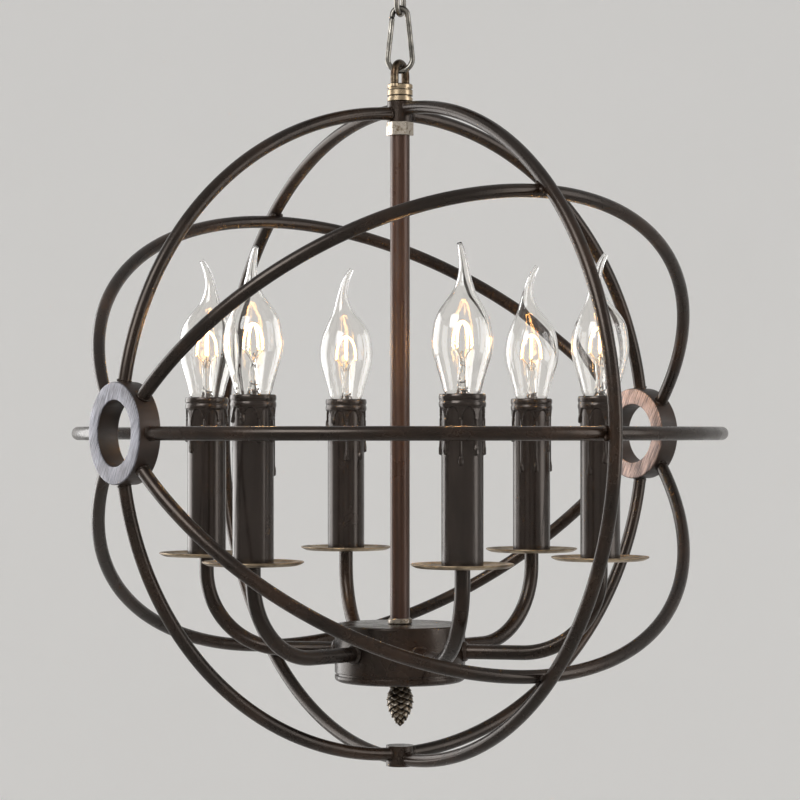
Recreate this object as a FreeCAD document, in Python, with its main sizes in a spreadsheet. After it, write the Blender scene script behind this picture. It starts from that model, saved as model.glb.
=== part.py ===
"""Orb chandelier: six candle lights on a centre stem inside a globe of welded round-bar hoops.

Frame: the origin is the middle of the ceiling rose's top face, +Z is up and +X runs along
the axis through the two open hubs, towards the right-hand hub. Lengths are millimetres.
"""
import os
from math import cos, radians, sin, sqrt

import FreeCAD, Part
import Sketcher
from FreeCAD import Placement, Rotation, Vector

# name, value, what it is
SIZES = [
    # globe of hoops
    ("hoop_radius", 196, "orb centre to the centre line of a hub-to-hub hoop"),
    ("bar_dia", 8, "round bar of every hoop"),
    ("weld_gap", 0.05, "space left between welded pieces"),
    ("cross_hoop_shift", 5, "how far each half of the cross hoop is set outwards"),
    ("hub_outer_dia", 59, "open hub, outside"),
    ("hub_bore_dia", 38, "open hub, bore"),
    ("hub_length", 14, "open hub, along its axis"),
    ("hub_edge", 0.6, "chamfer on the hub's edges"),
    ("pole_block_dia", 15.6, "block that joins the bars at the top pole"),
    ("foot_block_dia", 17, "block that joins the bars at the bottom pole"),
    ("pole_block_inside", 5, "block, from the hoop centre line inwards"),
    ("pole_block_outside", 7.5, "block, from the hoop centre line outwards"),
    # stem
    ("thread_dia", 10, "threaded ends of the stem"),
    ("thread_clear", 0.08, "radial clearance on a threaded fit"),
    ("thread_room", 1, "space left past the end of a thread, tube or cap in its bore"),
    ("stem_dia", 12, "stem tube, outside"),
    ("stem_bore_dia", 6.6, "stem tube, bore"),
    ("top_nut_flats", 14.4, "hex nut under the top block, across flats"),
    ("top_nut_height", 8, "hex nut under the top block"),
    ("foot_nut_dia", 15, "round nut at the stem's foot"),
    ("foot_nut_height", 3.6, "round nut at the stem's foot"),
    ("foot_nut_edge", 0.8, "chamfer on the round nut's edges"),
    ("foot_thread_length", 11, "stem thread below the foot nut"),
    # pot
    ("pot_dia", 80, "pot, outside"),
    ("pot_wall", 1.4, "pot and lid sheet"),
    ("pot_height", 29.4, "pot without its lid"),
    ("pot_edge", 1.2, "chamfer on the pot's top edge"),
    ("lid_neck", 1.4, "recessed band between pot and lid rim"),
    ("lid_height", 4.4, "lid below the recessed band"),
    ("lid_neck_depth", 0.9, "depth of the recessed band"),
    ("lid_edge", 1.8, "chamfer on the lid's lower edge"),
    ("lid_spigot", 3, "lid's rim inside the pot"),
    ("fit_gap", 0.2, "radial gap between parts that slide together at assembly"),
    # finial
    ("finial_dia", 17.6, "cast finial at its widest"),
    ("finial_neck_dia", 12.4, "cast finial at the lid"),
    ("finial_length", 27.5, "lid to the finial's tip"),
    ("finial_gap", 11.5, "finial's tip to the block at the bottom pole"),
    ("finial_stud_dia", 6, "stud of the finial"),
    ("finial_stud_grip", 9, "stud inside the stem's end"),
    # arms
    ("candle_gap", 72, "candle's axis out to the reach of a hoop's centre line"),
    ("first_arm_angle", 11, "turn of the first arm from +X"),
    ("arm_dia", 9, "arm tube, outside"),
    ("arm_bore_dia", 6.4, "arm tube, bore"),
    ("arm_bend", 48, "bend radius of an arm's centre line"),
    ("arm_inset", 16.2, "pot's top down to the arms' level part"),
    ("arm_rise", 8.4, "straight arm between its bend and its pan"),
    ("arm_collar_dia", 12.5, "collar of an arm against the pot"),
    ("arm_collar_length", 2.6, "collar of an arm against the pot"),
    ("arm_nut_flats", 12, "nut on an arm inside the pot, across flats"),
    ("arm_nut_height", 3, "nut on an arm inside the pot"),
    ("arm_end_length", 7, "arm inside the pot wall"),
    ("arm_top_grip", 9, "arm above the pan"),
    # pans and candle sleeves
    ("pan_dia", 59.6, "drip pan, over its rim"),
    ("pan_sheet", 1, "pan sheet"),
    ("pan_rim_rise", 1.7, "rise of a pan's rim"),
    ("pan_rim_width", 3, "width of a pan's sloping rim"),
    ("sleeve_dia", 24, "candle sleeve, outside"),
    ("sleeve_wall", 1.3, "wall of a candle sleeve"),
    ("sleeve_height", 98.2, "candle sleeve with its drip collar"),
    ("drip_stand", 1.5, "how far the drip collar stands out from its sleeve"),
    ("sleeve_top_height", 9, "drip collar at the top of a sleeve"),
    ("sleeve_edge", 1.2, "slopes above and below the drip collar"),
    # lamp holders and bulbs
    ("holder_gap", 0.5, "space between a sleeve and its lamp holder's cup"),
    ("holder_cup", 33, "lamp holder's cup, height"),
    ("holder_post_wall", 2.1, "wall of a lamp holder's post round the arm"),
    ("wire_hole_dia", 4, "hole for wires through a lamp holder"),
    ("holder_sink", 6, "sleeve's top down to the holder's top"),
    ("cap_dia", 13.8, "screw cap of a bulb"),
    ("cap_clear", 0.08, "radial clearance of the cap in the holder"),
    ("cap_edge", 1.2, "slope at the foot of a bulb's cap"),
    ("cap_height", 22, "screw cap of a bulb without its contact"),
    ("contact_dia", 6, "contact at the foot of a bulb's cap"),
    ("contact_height", 3, "contact at the foot of a bulb's cap"),
    ("bulb_dia", 35, "bulb glass at its widest"),
    ("bulb_length", 91, "bulb glass from its cap to its tip"),
    ("bulb_tail_reach", 4.4, "sideways reach of a bulb's bent tip"),
    ("glass_wall", 0.9, "wall of a bulb"),
    ("glass_stand", 0.4, "space between lamp holder and glass"),
    # screw loop, snap hook, chain link
    ("collar_dia", 15.6, "collar of the screw loop"),
    ("collar_height", 11, "collar of the screw loop"),
    ("collar_edge", 0.6, "chamfer on the collar's edges"),
    ("collar_groove", 0.7, "depth of the collar's two grooves"),
    ("collar_groove_width", 1.2, "width of the collar's two grooves"),
    ("collar_bore_depth", 7.5, "threaded bore of the collar"),
    ("loop_bar_dia", 5, "bar of the screw loop"),
    ("loop_spread", 15, "between the centre lines of the loop's legs"),
    ("loop_leg", 5.4, "straight legs of the loop above the collar"),
    ("loop_root", 2, "loop's legs inside the collar"),
    ("loop_turn", 28, "turn of the loop from +X"),
    ("hook_wire_dia", 3.4, "wire of the snap hook"),
    ("hook_wide", 18.4, "snap hook's wide end, outside"),
    ("hook_narrow", 12.8, "snap hook's narrow end, outside"),
    ("hook_length", 42.2, "snap hook, outside"),
    ("hook_turn", -36, "turn of the snap hook from +X"),
    ("gate_length", 15, "gate, from its pin to its free end"),
    ("gate_gap", 0.35, "space between gate and hook"),
    ("gate_pin_place", 3.2, "upper end of the hook's leg down to the gate's pin"),
    ("gate_pin_dia", 1.3, "pin of the gate"),
    ("gate_pin_clear", 0.06, "radial clearance of the pin"),
    ("gate_tongue", 1.2, "thickness of the hook's tongue in the gate's fork"),
    ("link_wire_dia", 3.4, "wire of the chain link"),
    ("link_length", 26, "chain link, outside"),
    ("link_width", 15, "chain link, outside"),
    ("link_turn", 34, "turn of the chain link from +X"),
    ("hang_gap", 0.5, "space between two links where one hangs in the other"),
    # ceiling eye and rose
    ("eye_wire_dia", 3.6, "wire of the ceiling eye"),
    ("eye_dia", 17, "ceiling eye, outside"),
    ("eye_root", 1, "eye's ring inside its flange"),
    ("eye_shank_dia", 6, "threaded shank of the ceiling eye"),
    ("eye_shank_grip", 12, "shank inside the rose"),
    ("eye_flange_dia", 12, "flange of the ceiling eye"),
    ("eye_flange_height", 2.5, "flange of the ceiling eye"),
    ("rose_dia", 100, "ceiling rose"),
    ("rose_rim_height", 4, "ceiling rose at its rim"),
    ("rose_depth", 22, "ceiling rose at its middle"),
    ("rose_boss_dia", 26, "flat boss at the rose's middle"),
    ("rose_screw_circle", 76, "between the two screw holes of the rose"),
    ("rose_screw_dia", 5, "screw holes of the rose"),
]

# name, formula over the sizes above, what it is
DERIVED = [
    ("bar_radius", "bar_dia / 2", "radius of the hoop bar"),
    ("cross_radius", "hoop_radius + bar_dia + weld_gap - cross_hoop_shift",
     "bend of each half of the cross hoop, which passes outside the level hoop"),
    ("hub_place", "sqrt(hoop_radius ^ 2 - (hub_outer_dia / 2) ^ 2)",
     "orb centre to a hub's middle, where the bars' centre lines meet its rim"),
    ("block_top", "hoop_radius + pole_block_outside", "outer end of a pole block"),
    ("block_foot", "hoop_radius - pole_block_inside", "inner end of a pole block"),
    ("thread_bore_dia", "thread_dia + 2 * thread_clear", "threaded bore"),
    ("lid_bottom", "finial_length + finial_gap - block_foot", "underside of the lid"),
    ("pot_bottom", "lid_bottom + lid_height + lid_neck", "lower edge of the pot"),
    ("pot_top", "pot_bottom + pot_height", "top face of the pot"),
    ("candle_circle", "hoop_radius - candle_gap", "stem axis to each candle's axis"),
    ("arm_level", "pot_top - arm_inset", "centre line of the arms' level part"),
    ("pan_foot", "arm_level + arm_bend + arm_rise", "underside of a pan"),
    ("pan_top", "pan_foot + pan_sheet", "upper face of a pan"),
    ("sleeve_bore_dia", "sleeve_dia - 2 * sleeve_wall", "candle sleeve, bore"),
    ("sleeve_top_dia", "sleeve_dia + 2 * drip_stand", "drip collar at the top of a sleeve"),
    ("sleeve_top", "pan_top + sleeve_height", "top of a candle sleeve"),
    ("holder_top", "sleeve_top - holder_sink", "top of a lamp holder"),
    ("holder_dia", "sleeve_bore_dia - 2 * holder_gap", "lamp holder's cup, outside"),
    ("arm_hole_dia", "arm_dia + 2 * thread_clear", "hole that an arm passes through"),
    ("holder_post_dia", "arm_hole_dia + 2 * holder_post_wall", "lamp holder's hollow post"),
    ("collar_top", "block_top + collar_height", "top of the screw loop's collar"),
    ("loop_radius", "loop_spread / 2", "bend of the loop's centre line"),
    ("loop_centre", "collar_top + loop_leg", "centre of the loop's bend"),
    ("hook_low", "loop_centre + loop_radius - loop_bar_dia / 2 - hang_gap - hook_wire_dia / 2",
     "wire centre at the foot of the snap hook"),
    ("hook_wide_radius", "(hook_wide - hook_wire_dia) / 2", "bend of the wide end"),
    ("hook_narrow_radius", "(hook_narrow - hook_wire_dia) / 2", "bend of the narrow end"),
    ("hook_span", "hook_length - hook_wire_dia - hook_wide_radius - hook_narrow_radius",
     "between the centres of the hook's two bends"),
    ("hook_high", "hook_low + hook_length - hook_wire_dia", "wire centre at the hook's top"),
    ("link_low", "hook_high - hook_wire_dia / 2 - hang_gap - link_wire_dia / 2",
     "wire centre at the foot of the chain link"),
    ("link_bend", "(link_width - link_wire_dia) / 2", "bend of the chain link's ends"),
    ("link_high", "link_low + link_length - link_wire_dia", "wire centre at the link's top"),
    ("eye_low", "link_high - link_wire_dia / 2 - hang_gap - eye_wire_dia / 2",
     "wire centre at the foot of the eye"),
    ("eye_bend", "(eye_dia - eye_wire_dia) / 2", "bend of the eye"),
    ("rose_face", "eye_low + 2 * eye_bend + eye_wire_dia / 2 + eye_flange_height - eye_root",
     "underside of the rose's boss"),
    ("rose_slope", "(rose_dia - rose_boss_dia) / 2", "rose's boss out to its edge"),
    ("orb_drop", "rose_face + rose_depth", "ceiling to the orb's centre"),
]

ARMS = range(1, 7)
# turn of each bulb's bent tip from its own arm's direction, degrees, bulbs 1 to 6
TIP_TURNS = {1: -47, 2: -107, 3: 13, 4: 73, 5: -47, 6: 13}
# one bulb from cap to tip: height and radius as shares of its length and widest radius
BULB_RINGS = [
    (0.0, 0.41), (0.03, 0.455), (0.06, 0.57), (0.145, 0.71), (0.22, 0.83), (0.3, 0.95),
    (0.375, 1.0), (0.45, 0.97), (0.53, 0.88), (0.6, 0.69), (0.68, 0.42), (0.755, 0.27),
    (0.83, 0.18), (0.91, 0.135), (0.965, 0.105), (1.0, 0.08),
]
TAIL_START = 0.45  # share of the bulb's length where its centre line starts to bend
# along the tail, t from 0 to 1, the centre line's lean is its reach times (cube t^3 - square t^2)
TAIL_CUBE = 6.6
TAIL_SQUARE = 5.6

document = FreeCAD.newDocument("OrbChandelier")
sheet = document.addObject("Spreadsheet::Sheet", "Sizes")


def fill_sheet():
    """Writes every size, then every derived size, with its name and meaning."""
    for row, (name, value, meaning) in enumerate(SIZES + DERIVED, start=1):
        text = str(value) if row <= len(SIZES) else "=" + value
        sheet.set("A%d" % row, name)
        sheet.set("B%d" % row, text)
        sheet.set("C%d" % row, meaning)
        sheet.setAlias("B%d" % row, name)
    document.recompute()


def size(formula):
    """The value of a formula over the sheet's names."""
    value = sheet.evalExpression(formula)
    return float(getattr(value, "Value", value))


def bound(formula):
    """The formula with each name read from the sheet, for another object's expression."""
    names = sorted((name for name, *_ in SIZES + DERIVED), key=len, reverse=True)
    out = ""
    word = ""
    for letter in formula + " ":
        if letter.isalnum() or letter == "_":
            word += letter
            continue
        out += "Sizes." + word if word in names else word
        out += letter
        word = ""
    return out.strip()


def at_orb(x="0", y="0", z="0", rotation=Rotation()):
    """A placement from the orb's centre, in the frame of the ceiling mount."""
    return Placement(Vector(size(x), size(y), size(z) - size("orb_drop")), rotation)


def turn_z(degrees):
    return Rotation(Vector(0, 0, 1), degrees)


def arm_angle(number):
    return size("first_arm_angle") + 60 * (number - 1)


def at_candle(number, z="0", extra_turn=0):
    """A placement on one candle's axis, its X pointing away from the stem."""
    angle = arm_angle(number)
    reach = size("candle_circle")
    base = Vector(reach * cos(radians(angle)), reach * sin(radians(angle)), size(z) - size("orb_drop"))
    return Placement(base, turn_z(angle + extra_turn))


# ---- sketched bodies -------------------------------------------------------------------

def new_body(label):
    body = document.addObject("PartDesign::Body", label)
    body.Label = label
    return body


def sketch_on(body, role, name):
    """A sketch on one of the body's own origin planes."""
    sketch = body.newObject("Sketcher::SketchObject", name)
    plane = [f for f in body.Origin.OriginFeatures if f.Role == role][0]
    sketch.AttachmentSupport = [(plane, "")]
    sketch.MapMode = "FlatFace"
    return sketch


def bind(sketch, constraint, name, formula):
    index = sketch.addConstraint(constraint)
    sketch.renameConstraint(index, name)
    sketch.setExpression("Constraints." + name, bound(formula))


def pin_point(sketch, edge, end, tag, x, y):
    """Holds a sketch point at two formulas, or on an axis where a formula is 0."""
    if x == "0":
        sketch.addConstraint(Sketcher.Constraint("PointOnObject", edge, end, -2))
    else:
        bind(sketch, Sketcher.Constraint("DistanceX", -1, 1, edge, end, size(x)), "x" + tag, x)
    if y == "0":
        sketch.addConstraint(Sketcher.Constraint("PointOnObject", edge, end, -1))
    else:
        bind(sketch, Sketcher.Constraint("DistanceY", -1, 1, edge, end, size(y)), "y" + tag, y)


def add_outline(sketch, points, tag=""):
    """A closed outline of straight edges through points given as pairs of formulas."""
    corners = [Vector(size(x), size(y), 0) for x, y in points]
    first = sketch.GeometryCount
    for here, there in zip(corners, corners[1:] + corners[:1]):
        sketch.addGeometry(Part.LineSegment(here, there), False)
    last = first + len(points) - 1
    for edge in range(first, last + 1):
        follower = edge + 1 if edge < last else first
        sketch.addConstraint(Sketcher.Constraint("Coincident", edge, 2, follower, 1))
    for step, (x, y) in enumerate(points):
        pin_point(sketch, first + step, 1, "%s%d" % (tag, step), x, y)


def add_circle(sketch, x, y, diameter, tag=""):
    """A circle held at two formulas, with its diameter a third."""
    centre = Vector(size(x), size(y), 0)
    edge = sketch.addGeometry(Part.Circle(centre, Vector(0, 0, 1), size(diameter) / 2), False)
    bind(sketch, Sketcher.Constraint("Diameter", edge, size(diameter)), "dia" + tag, diameter)
    pin_point(sketch, edge, 3, "mid" + tag, x, y)


def revolve(body, points, name="Turned"):
    """Turns a half profile, radius against height, into the body about its Z axis."""
    sketch = sketch_on(body, "XZ_Plane", name + "Profile")
    add_outline(sketch, points)
    solid = body.newObject("PartDesign::Revolution", name)
    solid.Profile = sketch
    solid.ReferenceAxis = (sketch, ["V_Axis"])
    solid.Angle = 360
    sketch.Visibility = False
    document.recompute()
    return solid


def turned_body(label, points, placement):
    body = new_body(label)
    revolve(body, points)
    body.Placement = placement
    return body


def hexagon_points(flats):
    """Corner formulas of a hexagon about the sketch's origin, two flats square to Y."""
    across = "(%s)" % flats
    corner = across + " / sqrt(3)"
    half = across + " / 2"
    return [
        (corner, "0"), (corner + " / 2", half), ("-" + corner + " / 2", half),
        ("-" + corner, "0"), ("-" + corner + " / 2", "-" + half), (corner + " / 2", "-" + half),
    ]


def hex_nut(label, flats, height, bore, placement):
    """A hex nut standing on its own XY plane."""
    body = new_body(label)
    sketch = sketch_on(body, "XY_Plane", "NutOutline")
    add_outline(sketch, hexagon_points(flats))
    add_circle(sketch, "0", "0", bore, "bore")
    pad = body.newObject("PartDesign::Pad", "NutPad")
    pad.Profile = sketch
    pad.setExpression("Length", bound(height))
    body.Placement = placement
    document.recompute()
    return body


# ---- primitives ------------------------------------------------------------------------

def primitive(kind, name, sizes, placement=Placement()):
    """A Part primitive whose properties follow formulas."""
    thing = document.addObject("Part::" + kind, name)
    for key, formula in sizes.items():
        thing.setExpression(key, bound(formula))
    thing.Placement = placement
    return thing


def cylinder(name, radius, height, placement=Placement()):
    return primitive("Cylinder", name, {"Radius": radius, "Height": height}, placement)


def ring_arc(name, bend, wire, degrees, placement=Placement()):
    """Part of a ring about its own Z axis, from +X towards +Y."""
    thing = primitive("Torus", name, {"Radius1": bend, "Radius2": wire}, placement)
    thing.Angle3 = degrees
    return thing


def cut(label, base, tool, placement=None):
    thing = document.addObject("Part::Cut", label)
    thing.Base = base
    thing.Tool = tool
    thing.Label = label
    if placement is not None:
        thing.Placement = placement
    return thing


def fuse(label, pieces, placement=None):
    thing = document.addObject("Part::MultiFuse", label)
    thing.Shapes = pieces
    thing.Label = label
    if placement is not None:
        thing.Placement = placement
    return thing


X_AXIS_UP = Rotation(Vector(0, 1, 0), 90)  # takes +Z to +X


# ---- globe -----------------------------------------------------------------------------

def hub(label, side):
    body = new_body(label)
    sketch = sketch_on(body, "YZ_Plane", "HubFace")
    add_circle(sketch, "0", "0", "hub_outer_dia", "outer")
    add_circle(sketch, "0", "0", "hub_bore_dia", "bore")
    pad = body.newObject("PartDesign::Pad", "HubPad")
    pad.Profile = sketch
    pad.Midplane = True
    pad.setExpression("Length", bound("hub_length"))
    document.recompute()
    edges = ["Edge%d" % i for i, edge in enumerate(pad.Shape.Edges, start=1) if edge.Closed]
    chamfer = body.newObject("PartDesign::Chamfer", "HubChamfer")
    chamfer.Base = (pad, edges)
    chamfer.setExpression("Size", bound("hub_edge"))
    body.Placement = at_orb(x="%d * hub_place" % side)
    return body


def pole_block(label, diameter, rotation, bore):
    """A block from its inner to its outer end along +Z, turned to its pole."""
    inner = "thread_bore_dia / 2" if bore else "0"
    points = [
        (inner, "block_foot"), (diameter + " / 2", "block_foot"),
        (diameter + " / 2", "block_top"), (inner, "block_top"),
    ]
    return turned_body(label, points, at_orb(rotation=rotation))


def globe():
    """Hoops in their level pose, cut to their hubs and blocks, then turned into place."""
    hub_tool = cylinder("HubTool", "hub_outer_dia / 2 + weld_gap", "3 * hoop_radius",
                        Placement(Vector(-1.5 * size("hoop_radius"), 0, 0), X_AXIS_UP))
    half_bar = ring_arc("HalfHoopBar", "hoop_radius", "bar_radius", 180)
    for label, tilt in (
        ("level_hoop_rear", 0), ("tilted_hoop_b_upper_arc", 45), ("tilted_hoop_a_upper_arc", 135),
        ("level_hoop_front", 180), ("tilted_hoop_b_lower_arc", 225), ("tilted_hoop_a_lower_arc", 315),
    ):
        cut(label, half_bar, hub_tool, at_orb(rotation=Rotation(Vector(1, 0, 0), tilt)))

    quarter_bar = ring_arc("QuarterHoopBar", "hoop_radius", "bar_radius", 90)
    for name, diameter, lower in (("top", "pole_block_dia", False), ("bottom", "foot_block_dia", True)):
        block_tool = cylinder("BlockTool" + name, diameter + " / 2 + weld_gap", "2 * hoop_radius",
                              Placement(Vector(0, 0, 0), Rotation(Vector(1, 0, 0), -90)))
        tools = fuse("QuarterTools" + name, [hub_tool, block_tool])
        upright = Rotation(Vector(1, 0, 0), 90)
        for side, turn in (("right", 0), ("left", 180)):
            pose = turn_z(turn) * upright
            if lower:
                pose = Rotation(Vector(1, 0, 0), 180) * pose
            cut("upright_hoop_%s_%s" % (name, side), quarter_bar, tools, at_orb(rotation=pose))

    cross_hoop()
    hub("hub_left", -1)
    hub("hub_right", 1)
    pole_block("top_pole_block", "pole_block_dia", Rotation(), True)
    pole_block("bottom_pole_block", "foot_block_dia", Rotation(Vector(1, 0, 0), 180), False)


def cross_hoop():
    """Two half hoops square to the hub axis, notched where they lie on the tilted hoops."""
    crossing = "bar_radius + weld_gap"
    tools = []
    for tag, tilt in (("A", 135), ("B", 45)):
        tools.append(ring_arc("TiltedTool" + tag, "hoop_radius", crossing, 360,
                              Placement(Vector(), Rotation(Vector(1, 0, 0), tilt))))
    for tag, diameter, turn in (("Top", "pole_block_dia", 0), ("Foot", "foot_block_dia", 180)):
        tools.append(cylinder("CrossBlockTool" + tag, diameter + " / 2 + weld_gap", "2 * hoop_radius",
                              Placement(Vector(), Rotation(Vector(1, 0, 0), turn))))
    notches = fuse("CrossHoopTools", tools)
    for label, side in (("cross_hoop_front", -1), ("cross_hoop_rear", 1)):
        bar = ring_arc("Bar_" + label, "cross_radius", "bar_radius", 180)
        bar.Placement = Placement(Vector(0, side * size("cross_hoop_shift"), 0), cross_pose(side))
        cut(label, bar, notches, at_orb())


def cross_pose(side):
    """Turns a half ring about Z, which bulges to +Y, so that it stands square to X."""
    stand = Rotation(Vector(0, 1, 0), 90)
    return stand if side > 0 else turn_z(180) * stand


# ---- stem, pot and finial --------------------------------------------------------------

def stem():
    """A tube with a thinner threaded end above and below."""
    bore = "stem_bore_dia / 2"
    thread = "thread_dia / 2"
    wide = "stem_dia / 2"
    nut_foot = "block_foot - top_nut_height"
    thread_top = "block_top + collar_bore_depth - thread_room"
    foot = "pot_top + foot_nut_height"
    thread_foot = "pot_top - foot_thread_length"
    turned_body("stem_tube", [
        (bore, thread_foot), (thread, thread_foot), (thread, foot), (wide, foot),
        (wide, nut_foot), (thread, nut_foot), (thread, thread_top), (bore, thread_top),
    ], at_orb())
    hex_nut("stem_top_nut", "top_nut_flats", "top_nut_height", "thread_bore_dia",
            at_orb(z=nut_foot, rotation=turn_z(20)))
    nut = "foot_nut_dia / 2"
    turned_body("stem_foot_nut", [
        ("thread_bore_dia / 2", "0"), (nut + " - foot_nut_edge", "0"), (nut, "foot_nut_edge"),
        (nut, "foot_nut_height - foot_nut_edge"), (nut + " - foot_nut_edge", "foot_nut_height"),
        ("thread_bore_dia / 2", "foot_nut_height"),
    ], at_orb(z="pot_top"))


def pot():
    """A cup open below, with a hole for the stem and one for each arm."""
    outer = "pot_dia / 2"
    inner = outer + " - pot_wall"
    bore = "thread_bore_dia / 2"
    body = new_body("pot_shell")
    revolve(body, [
        (bore, "pot_top"), (outer + " - pot_edge", "pot_top"), (outer, "pot_top - pot_edge"),
        (outer, "pot_bottom"), (inner, "pot_bottom"), (inner, "pot_top - pot_wall"),
        (bore, "pot_top - pot_wall"),
    ])
    sketch = sketch_on(body, "XZ_Plane", "ArmHoleOutline")
    add_circle(sketch, "0", "arm_level", "arm_hole_dia")
    hole = body.newObject("PartDesign::Pocket", "ArmHole")
    hole.Profile = sketch
    hole.setExpression("Length", bound("pot_dia"))
    document.recompute()
    pattern = body.newObject("PartDesign::PolarPattern", "ArmHoles")
    pattern.Originals = [hole]
    pattern.Axis = ([f for f in body.Origin.OriginFeatures if f.Role == "Z_Axis"][0], [""])
    pattern.Angle = 360
    pattern.Occurrences = len(ARMS)
    body.Tip = pattern
    body.Placement = at_orb(rotation=turn_z(size("first_arm_angle") - 90))

    neck = outer + " - lid_neck_depth"
    spigot = inner + " - fit_gap"
    spigot_bore = spigot + " - pot_wall"
    stud_hole = "finial_stud_dia / 2 + fit_gap"
    turned_body("pot_lid", [
        (stud_hole, "lid_bottom"), (outer + " - lid_edge", "lid_bottom"), (outer, "lid_bottom + lid_edge"),
        (outer, "lid_bottom + lid_height"), (neck, "lid_bottom + lid_height"), (neck, "pot_bottom"),
        (spigot, "pot_bottom"), (spigot, "pot_bottom + lid_spigot"),
        (spigot_bore, "pot_bottom + lid_spigot"), (spigot_bore, "lid_bottom + pot_wall"),
        (stud_hole, "lid_bottom + pot_wall"),
    ], at_orb())


def finial():
    """A cast cone on a long stud that draws lid and pot up against the stem's nut."""
    neck = "finial_neck_dia / 2"
    wide = "finial_dia / 2"
    stud = "finial_stud_dia / 2"
    stud_top = "pot_top - foot_thread_length + finial_stud_grip"
    turned_body("pine_cone_finial", [
        ("0", "lid_bottom - finial_length"), (wide + " * 0.08", "lid_bottom - 0.965 * finial_length"),
        (wide + " * 0.36", "lid_bottom - 0.86 * finial_length"),
        (wide + " * 0.74", "lid_bottom - 0.70 * finial_length"),
        (wide, "lid_bottom - 0.44 * finial_length"),
        (wide + " * 0.94", "lid_bottom - 0.27 * finial_length"),
        (neck, "lid_bottom - 0.10 * finial_length"), (neck, "lid_bottom"),
        (stud, "lid_bottom"), (stud, stud_top), ("0", stud_top),
    ], at_orb())


# ---- arms and candles ------------------------------------------------------------------

def arm_run(tag, radius):
    """One arm's centre line as a solid of the given radius: level, bent up, upright."""
    start = "pot_dia / 2 - pot_wall - arm_end_length"
    bend_start = "candle_circle - arm_bend"
    level = cylinder("Level" + tag, radius, "%s - (%s)" % (bend_start, start),
                     Placement(Vector(size(start), 0, size("arm_level")), X_AXIS_UP))
    bend_top = size("arm_level + arm_bend")
    corner = ring_arc("Bend" + tag, "arm_bend", radius, 90)
    corner.Placement = Placement(Vector(size(bend_start), 0, bend_top),
                                 Rotation(Vector(1, 0, 0), 90) * turn_z(-90))
    upright = cylinder("Upright" + tag, radius, "pan_top + arm_top_grip - arm_level - arm_bend",
                       Placement(Vector(size("candle_circle"), 0, bend_top), Rotation()))
    return [level, corner, upright]


def arms():
    collar = cylinder("ArmCollar", "arm_collar_dia / 2", "arm_collar_length",
                      Placement(Vector(size("pot_dia / 2 + weld_gap"), 0, size("arm_level")), X_AXIS_UP))
    outside = fuse("ArmOutside", arm_run("Outside", "arm_dia / 2") + [collar])
    inside = fuse("ArmInside", arm_run("Inside", "arm_bore_dia / 2"))
    for number in ARMS:
        cut("arm_%d" % number, outside, inside, at_orb(rotation=turn_z(arm_angle(number))))


def arm_nuts():
    """Six nuts, each on its arm's end against the inside of the pot."""
    inner_radius = size("pot_dia / 2 - pot_wall")
    corner = size("arm_nut_flats") / sqrt(3)
    face = sqrt(inner_radius ** 2 - corner ** 2) - size("weld_gap")
    nuts = []
    for number in ARMS:
        aim = turn_z(arm_angle(number)) * Rotation(Vector(0, 1, 0), 90)
        out = aim.multVec(Vector(0, 0, face - size("arm_nut_height")))
        place = Placement(out + Vector(0, 0, size("arm_level - orb_drop")), aim)
        nuts.append(hex_nut("ArmNut%d" % number, "arm_nut_flats", "arm_nut_height", "arm_hole_dia", place))
    group = document.addObject("Part::Compound", "arm_nuts")
    group.Links = nuts
    group.Label = "arm_nuts"


def candle(number):
    hole = "arm_hole_dia / 2"
    rim = "pan_dia / 2"
    turned_body("drip_pan_%d" % number, [
        (hole, "0"), (rim + " - pan_rim_width", "0"), (rim, "pan_rim_rise"),
        (rim, "pan_rim_rise + pan_sheet"), (rim + " - pan_rim_width", "pan_sheet"), (hole, "pan_sheet"),
    ], at_candle(number, "pan_foot"))

    bore = "sleeve_bore_dia / 2"
    side = "sleeve_dia / 2"
    collar = "sleeve_top_dia / 2"
    turned_body("candle_sleeve_%d" % number, [
        (bore, "0"), (side, "0"), (side, "sleeve_height - sleeve_top_height - sleeve_edge"),
        (collar, "sleeve_height - sleeve_top_height"), (collar, "sleeve_height - sleeve_edge"),
        (collar + " - sleeve_edge", "sleeve_height"), (bore, "sleeve_height"),
    ], at_candle(number, "pan_top"))


def lamp_holder(number):
    """A hollow post on the arm's end that carries a cup for the bulb's cap."""
    total = "holder_top - pan_top"
    cup_foot = total + " - holder_cup"
    post_bore = "arm_hole_dia / 2"
    post_depth = "arm_top_grip + thread_room"
    cap_bore = "cap_dia / 2 + cap_clear"
    cap_depth = total + " - cap_height - contact_height - thread_room"
    wires = "wire_hole_dia / 2"
    return turned_body("LampHolder%d" % number, [
        (post_bore, "0"), ("holder_post_dia / 2", "0"), ("holder_post_dia / 2", cup_foot),
        ("holder_dia / 2", cup_foot), ("holder_dia / 2", total), (cap_bore, total),
        (cap_bore, cap_depth), (wires, cap_depth), (wires, post_depth), (post_bore, post_depth),
    ], at_candle(number, "pan_top"))


def tail_line(height):
    """The centre line's lean and slope at a share of the bulb's length: back first, then over."""
    t = max(0.0, (height - TAIL_START) / (1 - TAIL_START))
    reach = size("bulb_tail_reach")
    lean = reach * (TAIL_CUBE * t ** 3 - TAIL_SQUARE * t ** 2)
    run = size("bulb_length") * (1 - TAIL_START)
    return lean, reach * (3 * TAIL_CUBE * t ** 2 - 2 * TAIL_SQUARE * t) / run


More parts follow.
